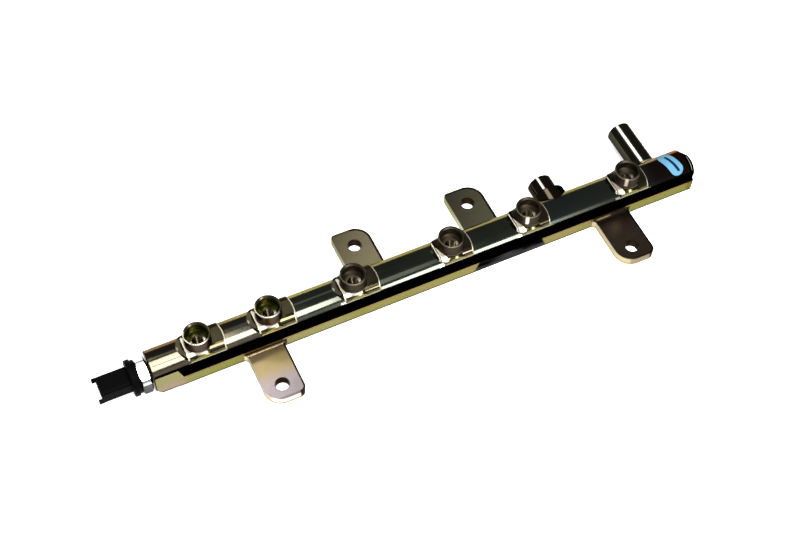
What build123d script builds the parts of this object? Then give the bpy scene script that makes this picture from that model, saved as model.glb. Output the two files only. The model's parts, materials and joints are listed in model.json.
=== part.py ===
"""Six-outlet common-rail fuel rail: forged body, pressure sensor, pressure limiting valve.

Millimetres. X runs along the rail from the sensor end (-X) to the closed end (+X), +Y points to the
side of the two pipe ports, +Z is up. The origin is on the flat underside, midway between the four
mounting tabs. The rail's axis is the axis of its main bore.
"""
import os
from math import cos, radians, sin, tan

from build123d import *

# ---- rail bar -------------------------------------------------------------------------------------
RAIL_LEFT_X = -236.0          # sensor end face
RAIL_RIGHT_X = 229.0          # closed end
AXIS_Z = 15.0                 # height of the main bore over the underside
CROWN_RADIUS = 15.8           # round top of the bar, about the bore axis
FLANK_WIDTH = 24.6            # across the forged flanks under the crown
FOOT_WIDTH = 25.6             # across the milled foot
FOOT_HEIGHT = 11.2
FOOT_END_SETBACK = 0.6        # the foot stops short of the closed end
FOOT_END_ROUND = 2.0
FLANK_EDGE_ROUND = 0.6        # along the edges between crown and flanks
CLOSED_END_TAPER = 7.0        # length of the cone turned on the closed end
CLOSED_END_RADIUS = 10.0      # of the flat it leaves
END_BLOCK_LENGTH = 18.5       # milled block at the sensor end
END_BLOCK_WIDTH = 25.0
END_BLOCK_HEIGHT = 21.6
END_BLOCK_SLOPE = 3.5         # run of the sloping step from the block down to the foot
END_FACE_RADIUS = 15.2        # a 45-degree chamfer, turned about the bore, starts here

# ---- mounting tabs --------------------------------------------------------------------------------
TAB_PITCH = 100.0             # between neighbouring tabs, front and back taken together
TAB_THICKNESS = 8.0
TAB_NARROW_SIDE = 14.2        # hole centre to the tab's -X edge
TAB_WIDE_SIDE = 15.3          # hole centre to the tab's +X edge
TAB_HOLE_RADIUS = 5.5
TAB_HOLE_CHAMFER = 0.5
TAB_LARGE_CORNER = 13.5
TAB_SMALL_CORNER = 5.5        # front tabs, +X side
TAB_SHARP_CORNER = 2.8        # back tabs, -X side
TAB_ROOT_FILLET = 2.6         # tab top to foot
TAB_PLAN_FILLET = 3.5         # tab sides to foot
TAB_EDGE_ROUND = 0.8
FRONT_HOLE_Y = -46.7
FRONT_TAB_END_Y = -58.6
BACK_HOLE_Y = 44.7
BACK_TAB_END_Y = 60.4

# ---- outlets --------------------------------------------------------------------------------------
OUTLET_X = (-196.5, -140.5, -71.5, 11.0, 78.5, 167.5)
PAD_TOP_Z = 31.4
PAD_WIDTH = 24.4
PAD_SHOULDER = 6.4            # round along the pad's top, front and back
PAD_FOOT_Z = 22.0             # the pad's drafted ends run down to here, inside the bar
PAD_SHORT_SIDE = 18.6         # outlet axis to the pad's -X end, at its foot
PAD_SHORT_BOW = 8.0           # the -X end is bowed outwards by this much
# each outlet's axis to its pad's +X end, at its foot
PAD_LONG_SIDES = (21.6, 21.6, 21.6, 18.2, 18.2, 18.2)
PAD_LONG_BOW = 2.6
PAD_DRAFT = 12.0
PAD_SLOPE_START = 10.9        # outlet axis to where the top starts to fall towards -X
PAD_SLOPE = 6.0
SPOT_FACE_RADIUS = 13.2
SPOT_FACE_Z = 31.05
BOSS_RADIUS = 10.2
BOSS_TOP_Z = 42.0
BOSS_FLARE_Z = 32.4           # the boss flares from here down to the pad
BOSS_FLARE_ROUND = 3.4
BOSS_RIM_ROUND = 0.5
OUTLET_MOUTH_RADIUS = 9.3
OUTLET_THREAD_RADIUS = 8.19   # bore of an M18 x 1.5 thread
OUTLET_THREAD_LENGTH = 6.6
OUTLET_FLOOR_DEPTH = 10.4     # rim to the flat ring round the seat
OUTLET_FLOOR_RADIUS = 6.0

# ---- pipe seats and throttles -----------------------------------------------------------------------
SEAT_CONE_RADIUS = 4.4        # mouth of the 60-degree pipe seat
SEAT_HALF_ANGLE = 30.0
DRILLING_RADIUS = 1.5
THROTTLE_SETBACK = 1.0        # end of the seat cone to the throttle
THROTTLE_LENGTH = 5.0
THROTTLE_RADIUS = 0.45
THROTTLE_LEAD_IN = 0.55

# ---- main bore ------------------------------------------------------------------------------------
MAIN_BORE_RADIUS = 5.0
MAIN_BORE_END_X = 207.0       # blind end
DRILL_HALF_ANGLE = 59.0

# ---- inlet port, on the back ----------------------------------------------------------------------
INLET_X = 109.0
INLET_RADIUS = 10.2
INLET_TIP_Y = 34.4
INLET_TIP_ROUND = 0.6
INLET_BASE_RADIUS = 14.3
INLET_BASE_Y = 19.3
INLET_BASE_ROUND = 0.8
INLET_THREAD_RADIUS = 6.19    # bore of an M14 x 1.5 thread
INLET_THREAD_LENGTH = 10.0
INLET_MOUTH_CHAMFER = 1.0
INLET_FLOOR_RADIUS = 5.2
INLET_FLOOR_DEPTH = 12.4

# ---- pressure limiting valve, in the long port on the back -------------------------------------------
VALVE_X = 195.3
VALVE_PORT_RADIUS = 10.0
VALVE_TIP_Y = 55.0
VALVE_TIP_ROUND = 0.6
VALVE_PORT_FOOT_ROUND = 1.6
RETURN_THREAD_RADIUS = 7.19   # bore of an M16 x 1.5 thread, for the return pipe
RETURN_MOUTH_CHAMFER = 1.0
RETURN_THREAD_LENGTH = 9.0
RETAINER_THREAD_RADIUS = 6.19 # bore of an M14 x 1.5 thread
RETAINER_LENGTH = 7.0
RETAINER_RUN_OUT = 2.5        # thread left beyond the retainer's inner end
RETAINER_CHAMFER = 0.6
RETAINER_SOCKET_AF = 6.0
RETAINER_SOCKET_DEPTH = 4.0
RETAINER_BORE_RADIUS = 2.0
CHAMBER_RADIUS = 5.6
CHAMBER_FLOOR_Y = 12.0
VALVE_SEAT_LENGTH = 4.5
VALVE_SEAT_BORE_RADIUS = 0.6
VALVE_SEAT_CONE_DEPTH = 1.5   # 45-degree seat
PLUNGER_GUIDE_CLEARANCE = 0.05
PLUNGER_GUIDE_LENGTH = 7.0
PLUNGER_TIP_RADIUS = 0.3
PLUNGER_NECK_RADIUS = 1.9
PLUNGER_NECK_LENGTH = 1.8
PLUNGER_FLAT_DISTANCE = 4.8   # axis to each of the three flow flats
PLUNGER_SPIGOT_RADIUS = 2.9   # stands inside the spring
PLUNGER_SPIGOT_LENGTH = 2.0
SEAT_GAP = 0.02               # along the axis, between the plunger's cone and the seat's
SPRING_WIRE_RADIUS = 0.95
SPRING_MEAN_RADIUS = 4.2
SPRING_TURNS = 4.5
SHIM_RADIUS = 5.0
SHIM_BORE_RADIUS = 2.0
SHIM_THICKNESS = 1.0

# ---- pressure sensor ------------------------------------------------------------------------------
SENSOR_THREAD_RADIUS = 8.19   # bore of an M18 x 1.5 thread
THREAD_CLEARANCE = 0.05       # screwed pieces are this much smaller than the bore they fill
SENSOR_PORT_DEPTH = 16.0
SENSOR_PORT_CHAMFER = 1.2
SENSOR_WASHER_THICKNESS = 1.5
SENSOR_WASHER_RADIUS = 7.8
SENSOR_WASHER_BORE_RADIUS = 5.2
SENSOR_NOSE_LENGTH = 1.8
SENSOR_NOSE_RADIUS = 7.2
SENSOR_NECK_GAP = 1.0         # between the rail's end and the hexagon
SENSOR_NECK_LENGTH = 2.6
HEX_ACROSS_FLATS = 27.4
HEX_TURNED_RADIUS = 14.95     # the corners are turned off to this
HEX_FACE_RADIUS = 12.6        # 30-degree chamfers start here
HEX_LENGTH = 8.5
HEX_TILT = 27.0               # the top flat leans this far from +Z towards -Y
SENSOR_PASSAGE_RADIUS = 1.5
SENSOR_CAVITY_RADIUS = 8.0
SENSOR_CAVITY_DEPTH = 7.0
BOARD_RADIUS = 8.9
BOARD_THICKNESS = 1.2
BOARD_LEDGE_RADIUS = 9.0
SPIGOT_RADIUS = 9.7
SPIGOT_LENGTH = 1.8
ELEMENT_FLANGE_RADIUS = 4.6
ELEMENT_FLANGE_THICKNESS = 1.0
ELEMENT_CUP_RADIUS = 3.3
ELEMENT_HEIGHT = 3.8
DIAPHRAGM_THICKNESS = 0.8

# ---- sensor connector -----------------------------------------------------------------------------
COLLAR_RADIUS = 14.3
COLLAR_LENGTH = 4.2
COLLAR_ROUND = 0.8
COLLAR_NECK_RADIUS = 13.0
COLLAR_NECK_LENGTH = 1.8
COLLAR_CHAMBER_RADIUS = 8.2
COLLAR_CHAMBER_DEPTH = 3.6
RING_MEAN_RADIUS = 11.2
RING_SECTION_RADIUS = 0.8
RING_GROOVE_WIDTH = 2.0
PLUG_WIDTH = 17.0             # along Y
PLUG_HEIGHT = 13.6            # along Z
PLUG_LENGTH = 23.0            # collar to the mouth
PLUG_CORNER = 2.6
PLUG_WALL = 1.5
PLUG_SOCKET_DEPTH = 15.0
PLUG_LIP_LENGTH = 3.0         # a key on each side wall stands this far past the mouth
PLUG_LIP_HEIGHT = 4.6
LATCH_LENGTH = 9.5
LATCH_WIDTH = 6.0
LATCH_HEIGHT = 1.3
LATCH_SETBACK = 1.5
PIN_PITCH = 4.0
PIN_WIDTH = 2.2
PIN_THICKNESS = 0.8
PIN_REACH = 10.0              # length of each contact inside the socket
PIN_TIP_CHAMFER = 0.25

# ---- places worked out from the sizes ----------------------------------------------------------------
TAB_FRONT_X = (-1.5 * TAB_PITCH, 1.5 * TAB_PITCH)
TAB_BACK_X = (-0.5 * TAB_PITCH, 0.5 * TAB_PITCH)
SEAT_CONE_DEPTH = (SEAT_CONE_RADIUS - DRILLING_RADIUS) / tan(radians(SEAT_HALF_ANGLE))
OUTLET_FLOOR_Z = BOSS_TOP_Z - OUTLET_FLOOR_DEPTH
OUTLET_THROTTLE_TOP_Z = OUTLET_FLOOR_Z - SEAT_CONE_DEPTH - THROTTLE_SETBACK
INLET_FLOOR_Y = INLET_TIP_Y - INLET_FLOOR_DEPTH
INLET_THROTTLE_TOP_Y = INLET_FLOOR_Y - SEAT_CONE_DEPTH - THROTTLE_SETBACK
HEX_INNER_X = RAIL_LEFT_X - SENSOR_NECK_GAP
HEX_OUTER_X = HEX_INNER_X - HEX_LENGTH
SENSOR_SEAT_X = RAIL_LEFT_X + SENSOR_PORT_DEPTH
SENSOR_TIP_X = SENSOR_SEAT_X - SENSOR_WASHER_THICKNESS
SENSOR_FLOOR_X = HEX_OUTER_X + SENSOR_CAVITY_DEPTH
SPIGOT_END_X = HEX_OUTER_X + SPIGOT_LENGTH
BOARD_SEAT_X = SPIGOT_END_X + BOARD_THICKNESS
COLLAR_END_X = HEX_OUTER_X - COLLAR_NECK_LENGTH - COLLAR_LENGTH
COLLAR_CHAMBER_X = HEX_OUTER_X - COLLAR_CHAMBER_DEPTH
PLUG_MOUTH_X = COLLAR_END_X - PLUG_LENGTH
SOCKET_FLOOR_X = PLUG_MOUTH_X + PLUG_SOCKET_DEPTH
PIN_TIP_X = SOCKET_FLOOR_X - PIN_REACH
PIN_Y = (-PIN_PITCH, 0.0, PIN_PITCH)
RETURN_SHOULDER_Y = VALVE_TIP_Y - RETURN_MOUTH_CHAMFER - RETURN_THREAD_LENGTH
RETAINER_INNER_Y = RETURN_SHOULDER_Y - RETAINER_LENGTH
CHAMBER_TOP_Y = RETAINER_INNER_Y - RETAINER_RUN_OUT
VALVE_SEAT_TOP_Y = CHAMBER_FLOOR_Y + VALVE_SEAT_LENGTH
VALVE_SEAT_CONE_Y = VALVE_SEAT_TOP_Y - VALVE_SEAT_CONE_DEPTH
PLUNGER_CONE_Y = VALVE_SEAT_CONE_Y + SEAT_GAP    # height at which the cone has the seat bore's radius
PLUNGER_NECK_Y = PLUNGER_CONE_Y + PLUNGER_NECK_RADIUS - VALVE_SEAT_BORE_RADIUS
PLUNGER_TIP_Y = PLUNGER_NECK_Y - PLUNGER_NECK_RADIUS + PLUNGER_TIP_RADIUS
PLUNGER_RADIUS = CHAMBER_RADIUS - PLUNGER_GUIDE_CLEARANCE
PLUNGER_GUIDE_Y = PLUNGER_NECK_Y + PLUNGER_NECK_LENGTH
PLUNGER_TOP_Y = PLUNGER_GUIDE_Y + PLUNGER_GUIDE_LENGTH
SHIM_INNER_Y = RETAINER_INNER_Y - SHIM_THICKNESS

os.makedirs("parts", exist_ok=True)


def cross_plane(x):
    """The plane across the rail at x, with its origin on the bore axis: local x is +Y, local y +Z."""
    return Plane(origin=(x, 0, AXIS_Z), x_dir=(0, 1, 0), z_dir=(1, 0, 0))


def turned_plane():
    """The upright plane through the bore axis: local x is +X, local y the distance above the axis."""
    return Plane(origin=(0, 0, AXIS_Z), x_dir=(1, 0, 0), z_dir=(0, -1, 0))


def upright_plane(x):
    """The upright plane along the rail through an outlet: local x is the radius, local y is +Z."""
    return Plane(origin=(x, 0, 0), x_dir=(1, 0, 0), z_dir=(0, -1, 0))


def port_plane(x):
    """The level plane through a back port: local x is the radius, local y is +Y."""
    return Plane(origin=(x, 0, AXIS_Z), x_dir=(1, 0, 0), z_dir=(0, 0, 1))


BORE_AXIS = Axis((0, 0, AXIS_Z), (1, 0, 0))


def outlet_axis(x):
    """The upright axis of the outlet at x."""
    return Axis((x, 0, 0), (0, 0, 1))


def port_axis(x):
    """The level axis of the back port at x."""
    return Axis((x, 0, AXIS_Z), (0, 1, 0))


# ---- mounting tab blanks, each with its hole at x = 0 ------------------------------------------------
with BuildPart() as front_tab:
    with BuildSketch(Plane.XY) as front_outline:
        with Locations((-TAB_NARROW_SIDE, FRONT_TAB_END_Y)):
            Rectangle(TAB_NARROW_SIDE + TAB_WIDE_SIDE, -FRONT_TAB_END_Y, align=(Align.MIN, Align.MIN))
        with Locations((-3 * TAB_NARROW_SIDE, -FOOT_WIDTH / 2)):
            Rectangle(6 * TAB_NARROW_SIDE, FOOT_WIDTH / 2, align=(Align.MIN, Align.MIN))
        fillet(front_outline.vertices().group_by(Axis.Y)[1].sort_by(Axis.X)[1:3], TAB_PLAN_FILLET)
        fillet(front_outline.vertices().group_by(Axis.Y)[0].sort_by(Axis.X)[0], TAB_LARGE_CORNER)
        fillet(front_outline.vertices().group_by(Axis.Y)[0].sort_by(Axis.X)[-1], TAB_SMALL_CORNER)
    extrude(amount=FOOT_HEIGHT)
    with BuildSketch(Plane.YZ.offset(-3 * TAB_NARROW_SIDE)):
        with BuildLine():
            Polyline(
                (-FOOT_WIDTH / 2, TAB_THICKNESS + TAB_ROOT_FILLET),
                (0, TAB_THICKNESS + TAB_ROOT_FILLET),
                (0, 0),
                (FRONT_TAB_END_Y, 0),
                (FRONT_TAB_END_Y, TAB_THICKNESS),
                (-FOOT_WIDTH / 2 - TAB_ROOT_FILLET, TAB_THICKNESS),
            )
            TangentArc(
                (-FOOT_WIDTH / 2 - TAB_ROOT_FILLET, TAB_THICKNESS),
                (-FOOT_WIDTH / 2, TAB_THICKNESS + TAB_ROOT_FILLET),
                tangent=(1, 0),
            )
        make_face()
    extrude(amount=6 * TAB_NARROW_SIDE, mode=Mode.INTERSECT)

with BuildPart() as back_tab:
    with BuildSketch(Plane.XY) as back_outline:
        with Locations((-TAB_NARROW_SIDE, 0)):
            Rectangle(TAB_NARROW_SIDE + TAB_WIDE_SIDE, BACK_TAB_END_Y, align=(Align.MIN, Align.MIN))
        with Locations((-3 * TAB_NARROW_SIDE, 0)):
            Rectangle(6 * TAB_NARROW_SIDE, FOOT_WIDTH / 2, align=(Align.MIN, Align.MIN))
        fillet(back_outline.vertices().group_by(Axis.Y)[1].sort_by(Axis.X)[1:3], TAB_PLAN_FILLET)
        fillet(back_outline.vertices().group_by(Axis.Y)[-1].sort_by(Axis.X)[-1], TAB_LARGE_CORNER)
        fillet(back_outline.vertices().group_by(Axis.Y)[-1].sort_by(Axis.X)[0], TAB_SHARP_CORNER)
    extrude(amount=FOOT_HEIGHT)
    with BuildSketch(Plane.YZ.offset(-3 * TAB_NARROW_SIDE)):
        with BuildLine():
            Polyline(
                (FOOT_WIDTH / 2, TAB_THICKNESS + TAB_ROOT_FILLET),
                (0, TAB_THICKNESS + TAB_ROOT_FILLET),
                (0, 0),
                (BACK_TAB_END_Y, 0),
                (BACK_TAB_END_Y, TAB_THICKNESS),
                (FOOT_WIDTH / 2 + TAB_ROOT_FILLET, TAB_THICKNESS),
            )
            TangentArc(
                (FOOT_WIDTH / 2 + TAB_ROOT_FILLET, TAB_THICKNESS),
                (FOOT_WIDTH / 2, TAB_THICKNESS + TAB_ROOT_FILLET),
                tangent=(-1, 0),
            )
        make_face()
    extrude(amount=6 * TAB_NARROW_SIDE, mode=Mode.INTERSECT)

# ---- outlet blanks: a pad with its boss at x = 0, one for each outlet -----------------------------------
outlet_blanks = []
for long_side in PAD_LONG_SIDES:
    with BuildPart() as outlet_blank:
        # plan with bowed ends, drafted
        with BuildSketch(Plane.XY.offset(PAD_FOOT_Z)):
            with BuildLine():
                ThreePointArc(
                    (PAD_SHORT_BOW - PAD_SHORT_SIDE, PAD_WIDTH / 2),
                    (-PAD_SHORT_SIDE, 0),
                    (PAD_SHORT_BOW - PAD_SHORT_SIDE, -PAD_WIDTH / 2),
                )
                Polyline(
                    (PAD_SHORT_BOW - PAD_SHORT_SIDE, -PAD_WIDTH / 2),
                    (PAD_SHORT_BOW - PAD_SHORT_SIDE, -PAD_WIDTH),
                    (long_side - PAD_LONG_BOW, -PAD_WIDTH),
                    (long_side - PAD_LONG_BOW, -PAD_WIDTH / 2),
                )
                ThreePointArc(
                    (long_side - PAD_LONG_BOW, -PAD_WIDTH / 2),
                    (long_side, 0),
                    (long_side - PAD_LONG_BOW, PAD_WIDTH / 2),
                )
                Polyline(
                    (long_side - PAD_LONG_BOW, PAD_WIDTH / 2),
                    (long_side - PAD_LONG_BOW, PAD_WIDTH),
                    (PAD_SHORT_BOW - PAD_SHORT_SIDE, PAD_WIDTH),
                    (PAD_SHORT_BOW - PAD_SHORT_SIDE, PAD_WIDTH / 2),
                )
            make_face()
        extrude(amount=PAD_TOP_Z - PAD_FOOT_Z, taper=PAD_DRAFT)
        # rounded shoulders
        with BuildSketch(Plane.YZ.offset(-2 * long_side)) as pad_section:
            with Locations((0, PAD_FOOT_Z)):
                Rectangle(PAD_WIDTH, PAD_TOP_Z - PAD_FOOT_Z, align=(Align.CENTER, Align.MIN))
            fillet(pad_section.vertices().sort_by(Axis.Y)[-2:], PAD_SHOULDER)
        extrude(amount=4 * long_side, mode=Mode.INTERSECT)
        # the top falls towards -X
        slope_run = 2 * PAD_SHORT_SIDE - PAD_SLOPE_START
        with BuildSketch(Plane.XZ.offset(-PAD_WIDTH)):
            with BuildLine():
                Polyline(
                    (-PAD_SLOPE_START, PAD_TOP_Z),
                    (-2 * PAD_SHORT_SIDE, PAD_TOP_Z),
                    (-2 * PAD_SHORT_SIDE, PAD_TOP_Z - slope_run * tan(radians(PAD_SLOPE))),
                    close=True,
                )
            make_face()
        extrude(amount=2 * PAD_WIDTH, mode=Mode.SUBTRACT)
        # spot face round the boss
        with Locations((0, 0, SPOT_FACE_Z)):
            Cylinder(SPOT_FACE_RADIUS, 5, align=(Align.CENTER, Align.CENTER, Align.MIN), mode=Mode.SUBTRACT)
        # boss, its foot flared at 45 degrees and cut flush with the pad's front and back
        flare_r = BOSS_RADIUS + BOSS_FLARE_ROUND * (1 - cos(radians(45)))
        flare_z = BOSS_FLARE_Z - BOSS_FLARE_ROUND * sin(radians(45))
        with BuildSketch(upright_plane(0)):
            with BuildLine():
                Polyline(
                    (flare_r, flare_z),
                    (flare_r + flare_z - PAD_FOOT_Z, PAD_FOOT_Z),
                    (0, PAD_FOOT_Z),
                    (0, BOSS_TOP_Z),
                    (BOSS_RADIUS - BOSS_RIM_ROUND, BOSS_TOP_Z),
                )
                TangentArc(
                    (BOSS_RADIUS - BOSS_RIM_ROUND, BOSS_TOP_Z),
                    (BOSS_RADIUS, BOSS_TOP_Z - BOSS_RIM_ROUND),
                    tangent=(1, 0),
                )
                Line((BOSS_RADIUS, BOSS_TOP_Z - BOSS_RIM_ROUND), (BOSS_RADIUS, BOSS_FLARE_Z))
                TangentArc((BOSS_RADIUS, BOSS_FLARE_Z), (flare_r, flare_z), tangent=(0, -1))
            make_face()
        revolve(axis=outlet_axis(0))
        with Locations((0, 0, PAD_FOOT_Z)):
            Box(
                4 * long_side,
                PAD_WIDTH,
                BOSS_TOP_Z,
                align=(Align.CENTER, Align.CENTER, Align.MIN),
                mode=Mode.INTERSECT,
            )
    outlet_blanks.append(outlet_blank.part)

# ---- rail body: one forging ---------------------------------------------------------------------------
with BuildPart() as rail_body:
    # bar: round crown about the bore, cut by flat flanks and a flat underside
    with BuildSketch(cross_plane(RAIL_LEFT_X)) as bar:
        Circle(CROWN_RADIUS)
        with Locations((0, -AXIS_Z)):
            Rectangle(FLANK_WIDTH, 3 * AXIS_Z, align=(Align.CENTER, Align.MIN), mode=Mode.INTERSECT)
        fillet(bar.vertices().sort_by(Axis.Y)[-2:], FLANK_EDGE_ROUND)
    extrude(amount=RAIL_RIGHT_X - RAIL_LEFT_X)

    # cone at the closed end, turned about the bore
    with BuildSketch(turned_plane()):
        with BuildLine():
            Polyline(
                (RAIL_RIGHT_X - CLOSED_END_TAPER, CROWN_RADIUS),
                (RAIL_RIGHT_X, CLOSED_END_RADIUS),
                (RAIL_RIGHT_X + 1, CLOSED_END_RADIUS),
                (RAIL_RIGHT_X + 1, CROWN_RADIUS + 1),
                (RAIL_RIGHT_X - CLOSED_END_TAPER, CROWN_RADIUS + 1),
                close=True,
            )
        make_face()
    revolve(axis=BORE_AXIS, mode=Mode.SUBTRACT)

    # milled foot, with rounded corners at the closed end
    foot_left_x = RAIL_LEFT_X + END_BLOCK_LENGTH
    foot_right_x = RAIL_RIGHT_X - FOOT_END_SETBACK
    with BuildSketch(Plane.XY) as foot_plan:
        with Locations((foot_left_x, 0)):
            Rectangle(foot_right_x - foot_left_x, FOOT_WIDTH, align=(Align.MIN, Align.CENTER))
        fillet(foot_plan.vertices().group_by(Axis.X)[-1], FOOT_END_ROUND)
    extrude(amount=FOOT_HEIGHT)

    # milled block at the sensor end, its top sloping down to the foot
    with BuildSketch(Plane.XZ.offset(-END_BLOCK_WIDTH / 2)):
        with BuildLine():
            Polyline(
                (RAIL_LEFT_X, 0),
                (foot_left_x + END_BLOCK_SLOPE, 0),
                (foot_left_x + END_BLOCK_SLOPE, FOOT_HEIGHT),
                (foot_left_x, END_BLOCK_HEIGHT),
                (RAIL_LEFT_X, END_BLOCK_HEIGHT),
                close=True,
            )
        make_face()
    extrude(amount=END_BLOCK_WIDTH)

    # chamfer at the sensor end, turned about the bore
    with BuildSketch(turned_plane()):
        with BuildLine():
            Polyline(
                (RAIL_LEFT_X, END_FACE_RADIUS),
                (RAIL_LEFT_X + 10, END_FACE_RADIUS + 10),
                (RAIL_LEFT_X, END_FACE_RADIUS + 10),
                close=True,
            )
        make_face()
    revolve(axis=BORE_AXIS, mode=Mode.SUBTRACT)

    # mounting tabs
    with Locations(*[(x, 0, 0) for x in TAB_FRONT_X]):
        add(front_tab.part)
    with Locations(*[(x, 0, 0) for x in TAB_BACK_X]):
        add(back_tab.part)

    # outlet pads and bosses
    for x, blank in zip(OUTLET_X, outlet_blanks):
        with Locations((x, 0, 0)):
            add(blank)

    # inlet port: a stepped round boss
    with BuildSketch(port_plane(INLET_X)):
        with BuildLine():
            Polyline(
                (INLET_RADIUS, INLET_BASE_Y),
                (INLET_RADIUS, INLET_TIP_Y - INLET_TIP_ROUND),
                (INLET_RADIUS - INLET_TIP_ROUND, INLET_TIP_Y),
                (0, INLET_TIP_Y),
                (0, 0),
                (INLET_BASE_RADIUS, 0),
                (INLET_BASE_RADIUS, INLET_BASE_Y - INLET_BASE_ROUND),
            )
            TangentArc(
                (INLET_BASE_RADIUS, INLET_BASE_Y - INLET_BASE_ROUND),
                (INLET_BASE_RADIUS - INLET_BASE_ROUND, INLET_BASE_Y),
                tangent=(0, 1),
            )
            Line((INLET_BASE_RADIUS - INLET_BASE_ROUND, INLET_BASE_Y), (INLET_RADIUS, INLET_BASE_Y))
        make_face()
    revolve(axis=port_axis(INLET_X))

    # long port for the pressure limiting valve
    foot_round_y = FLANK_WIDTH / 2 + VALVE_PORT_FOOT_ROUND
    with BuildSketch(port_plane(VALVE_X)):
        with BuildLine():
            Polyline(
                (VALVE_PORT_RADIUS, foot_round_y),
                (VALVE_PORT_RADIUS, VALVE_TIP_Y - VALVE_TIP_ROUND),
                (VALVE_PORT_RADIUS - VALVE_TIP_ROUND, VALVE_TIP_Y),
                (0, VALVE_TIP_Y),
                (0, 0),
                (VALVE_PORT_RADIUS + VALVE_PORT_FOOT_ROUND, 0),
                (VALVE_PORT_RADIUS + VALVE_PORT_FOOT_ROUND, FLANK_WIDTH / 2),
            )
            TangentArc(
                (VALVE_PORT_RADIUS + VALVE_PORT_FOOT_ROUND, FLANK_WIDTH / 2),
                (VALVE_PORT_RADIUS, foot_round_y),
                tangent=(-1, 0),
            )
        make_face()
    revolve(axis=port_axis(VALVE_X))

    # mounting holes
    with Locations(*[(x, FRONT_HOLE_Y, 0) for x in TAB_FRONT_X]):
        Cylinder(TAB_HOLE_RADIUS, 3 * TAB_THICKNESS, mode=Mode.SUBTRACT)
    with Locations(*[(x, BACK_HOLE_Y, 0) for x in TAB_BACK_X]):
        Cylinder(TAB_HOLE_RADIUS, 3 * TAB_THICKNESS, mode=Mode.SUBTRACT)

    # main bore with the sensor's port at its mouth
    drill_point = MAIN_BORE_RADIUS / tan(radians(DRILL_HALF_ANGLE))
    with BuildSketch(turned_plane()):
        with BuildLine():
            Polyline(
                (RAIL_LEFT_X, 0),
                (RAIL_LEFT_X, SENSOR_THREAD_RADIUS + SENSOR_PORT_CHAMFER),
                (RAIL_LEFT_X + SENSOR_PORT_CHAMFER, SENSOR_THREAD_RADIUS),
                (SENSOR_SEAT_X, SENSOR_THREAD_RADIUS),
                (SENSOR_SEAT_X, MAIN_BORE_RADIUS),
                (MAIN_BORE_END_X, MAIN_BORE_RADIUS),
                (MAIN_BORE_END_X + drill_point, 0),
                close=True,
            )
        make_face()
    revolve(axis=BORE_AXIS, mode=Mode.SUBTRACT)

    # outlet cups: thread bore, flat ring, pipe seat and drilling down into the main bore
    for x in OUTLET_X:
        with BuildSketch(upright_plane(x)):
            with BuildLine():
                Polyline(
                    (0, BOSS_TOP_Z),
                    (OUTLET_MOUTH_RADIUS, BOSS_TOP_Z),
                    (OUTLET_THREAD_RADIUS, BOSS_TOP_Z - OUTLET_MOUTH_RADIUS + OUTLET_THREAD_RADIUS),
                    (OUTLET_THREAD_RADIUS, BOSS_TOP_Z - OUTLET_MOUTH_RADIUS
                     + OUTLET_THREAD_RADIUS - OUTLET_THREAD_LENGTH),
                    (OUTLET_FLOOR_RADIUS, OUTLET_FLOOR_Z),
                    (SEAT_CONE_RADIUS, OUTLET_FLOOR_Z),
                    (DRILLING_RADIUS, OUTLET_FLOOR_Z - SEAT_CONE_DEPTH),
                    (DRILLING_RADIUS, AXIS_Z),
                    (0, AXIS_Z),
                    close=True,
                )
            make_face()
        revolve(axis=outlet_axis(x), mode=Mode.SUBTRACT)

    # inlet: thread bore, flat ring, pipe seat and drilling into the main bore
    with BuildSketch(port_plane(INLET_X)):
        with BuildLine():
            Polyline(
                (0, INLET_TIP_Y),
                (INLET_THREAD_RADIUS + INLET_MOUTH_CHAMFER, INLET_TIP_Y),
                (INLET_THREAD_RADIUS, INLET_TIP_Y - INLET_MOUTH_CHAMFER),
                (INLET_THREAD_RADIUS, INLET_TIP_Y - INLET_MOUTH_CHAMFER - INLET_THREAD_LENGTH),
                (INLET_FLOOR_RADIUS, INLET_FLOOR_Y),
                (SEAT_CONE_RADIUS, INLET_FLOOR_Y),
                (DRILLING_RADIUS, INLET_FLOOR_Y - SEAT_CONE_DEPTH),
                (DRILLING_RADIUS, 0),
                (0, 0),
                close=True,
            )
        make_face()
    revolve(axis=port_axis(INLET_X), mode=Mode.SUBTRACT)

    # valve port: return thread, retainer thread, valve chamber and drilling into the main bore
    with BuildSketch(port_plane(VALVE_X)):
        with BuildLine():
            Polyline(
                (0, VALVE_TIP_Y),
                (RETURN_THREAD_RADIUS + RETURN_MOUTH_CHAMFER, VALVE_TIP_Y),
                (RETURN_THREAD_RADIUS, VALVE_TIP_Y - RETURN_MOUTH_CHAMFER),
                (RETURN_THREAD_RADIUS, RETURN_SHOULDER_Y),
                (RETAINER_THREAD_RADIUS, RETURN_SHOULDER_Y),
                (RETAINER_THREAD_RADIUS, CHAMBER_TOP_Y),
                (CHAMBER_RADIUS, CHAMBER_TOP_Y),
                (CHAMBER_RADIUS, CHAMBER_FLOOR_Y),
                (DRILLING_RADIUS, CHAMBER_FLOOR_Y),
                (DRILLING_RADIUS, 0),
                (0, 0),
                close=True,
            )
        make_face()
    revolve(axis=port_axis(VALVE_X), mode=Mode.SUBTRACT)

rail_body.part.label = "rail_body"
export_step(rail_body.part, "parts/rail_body.step")

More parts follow.
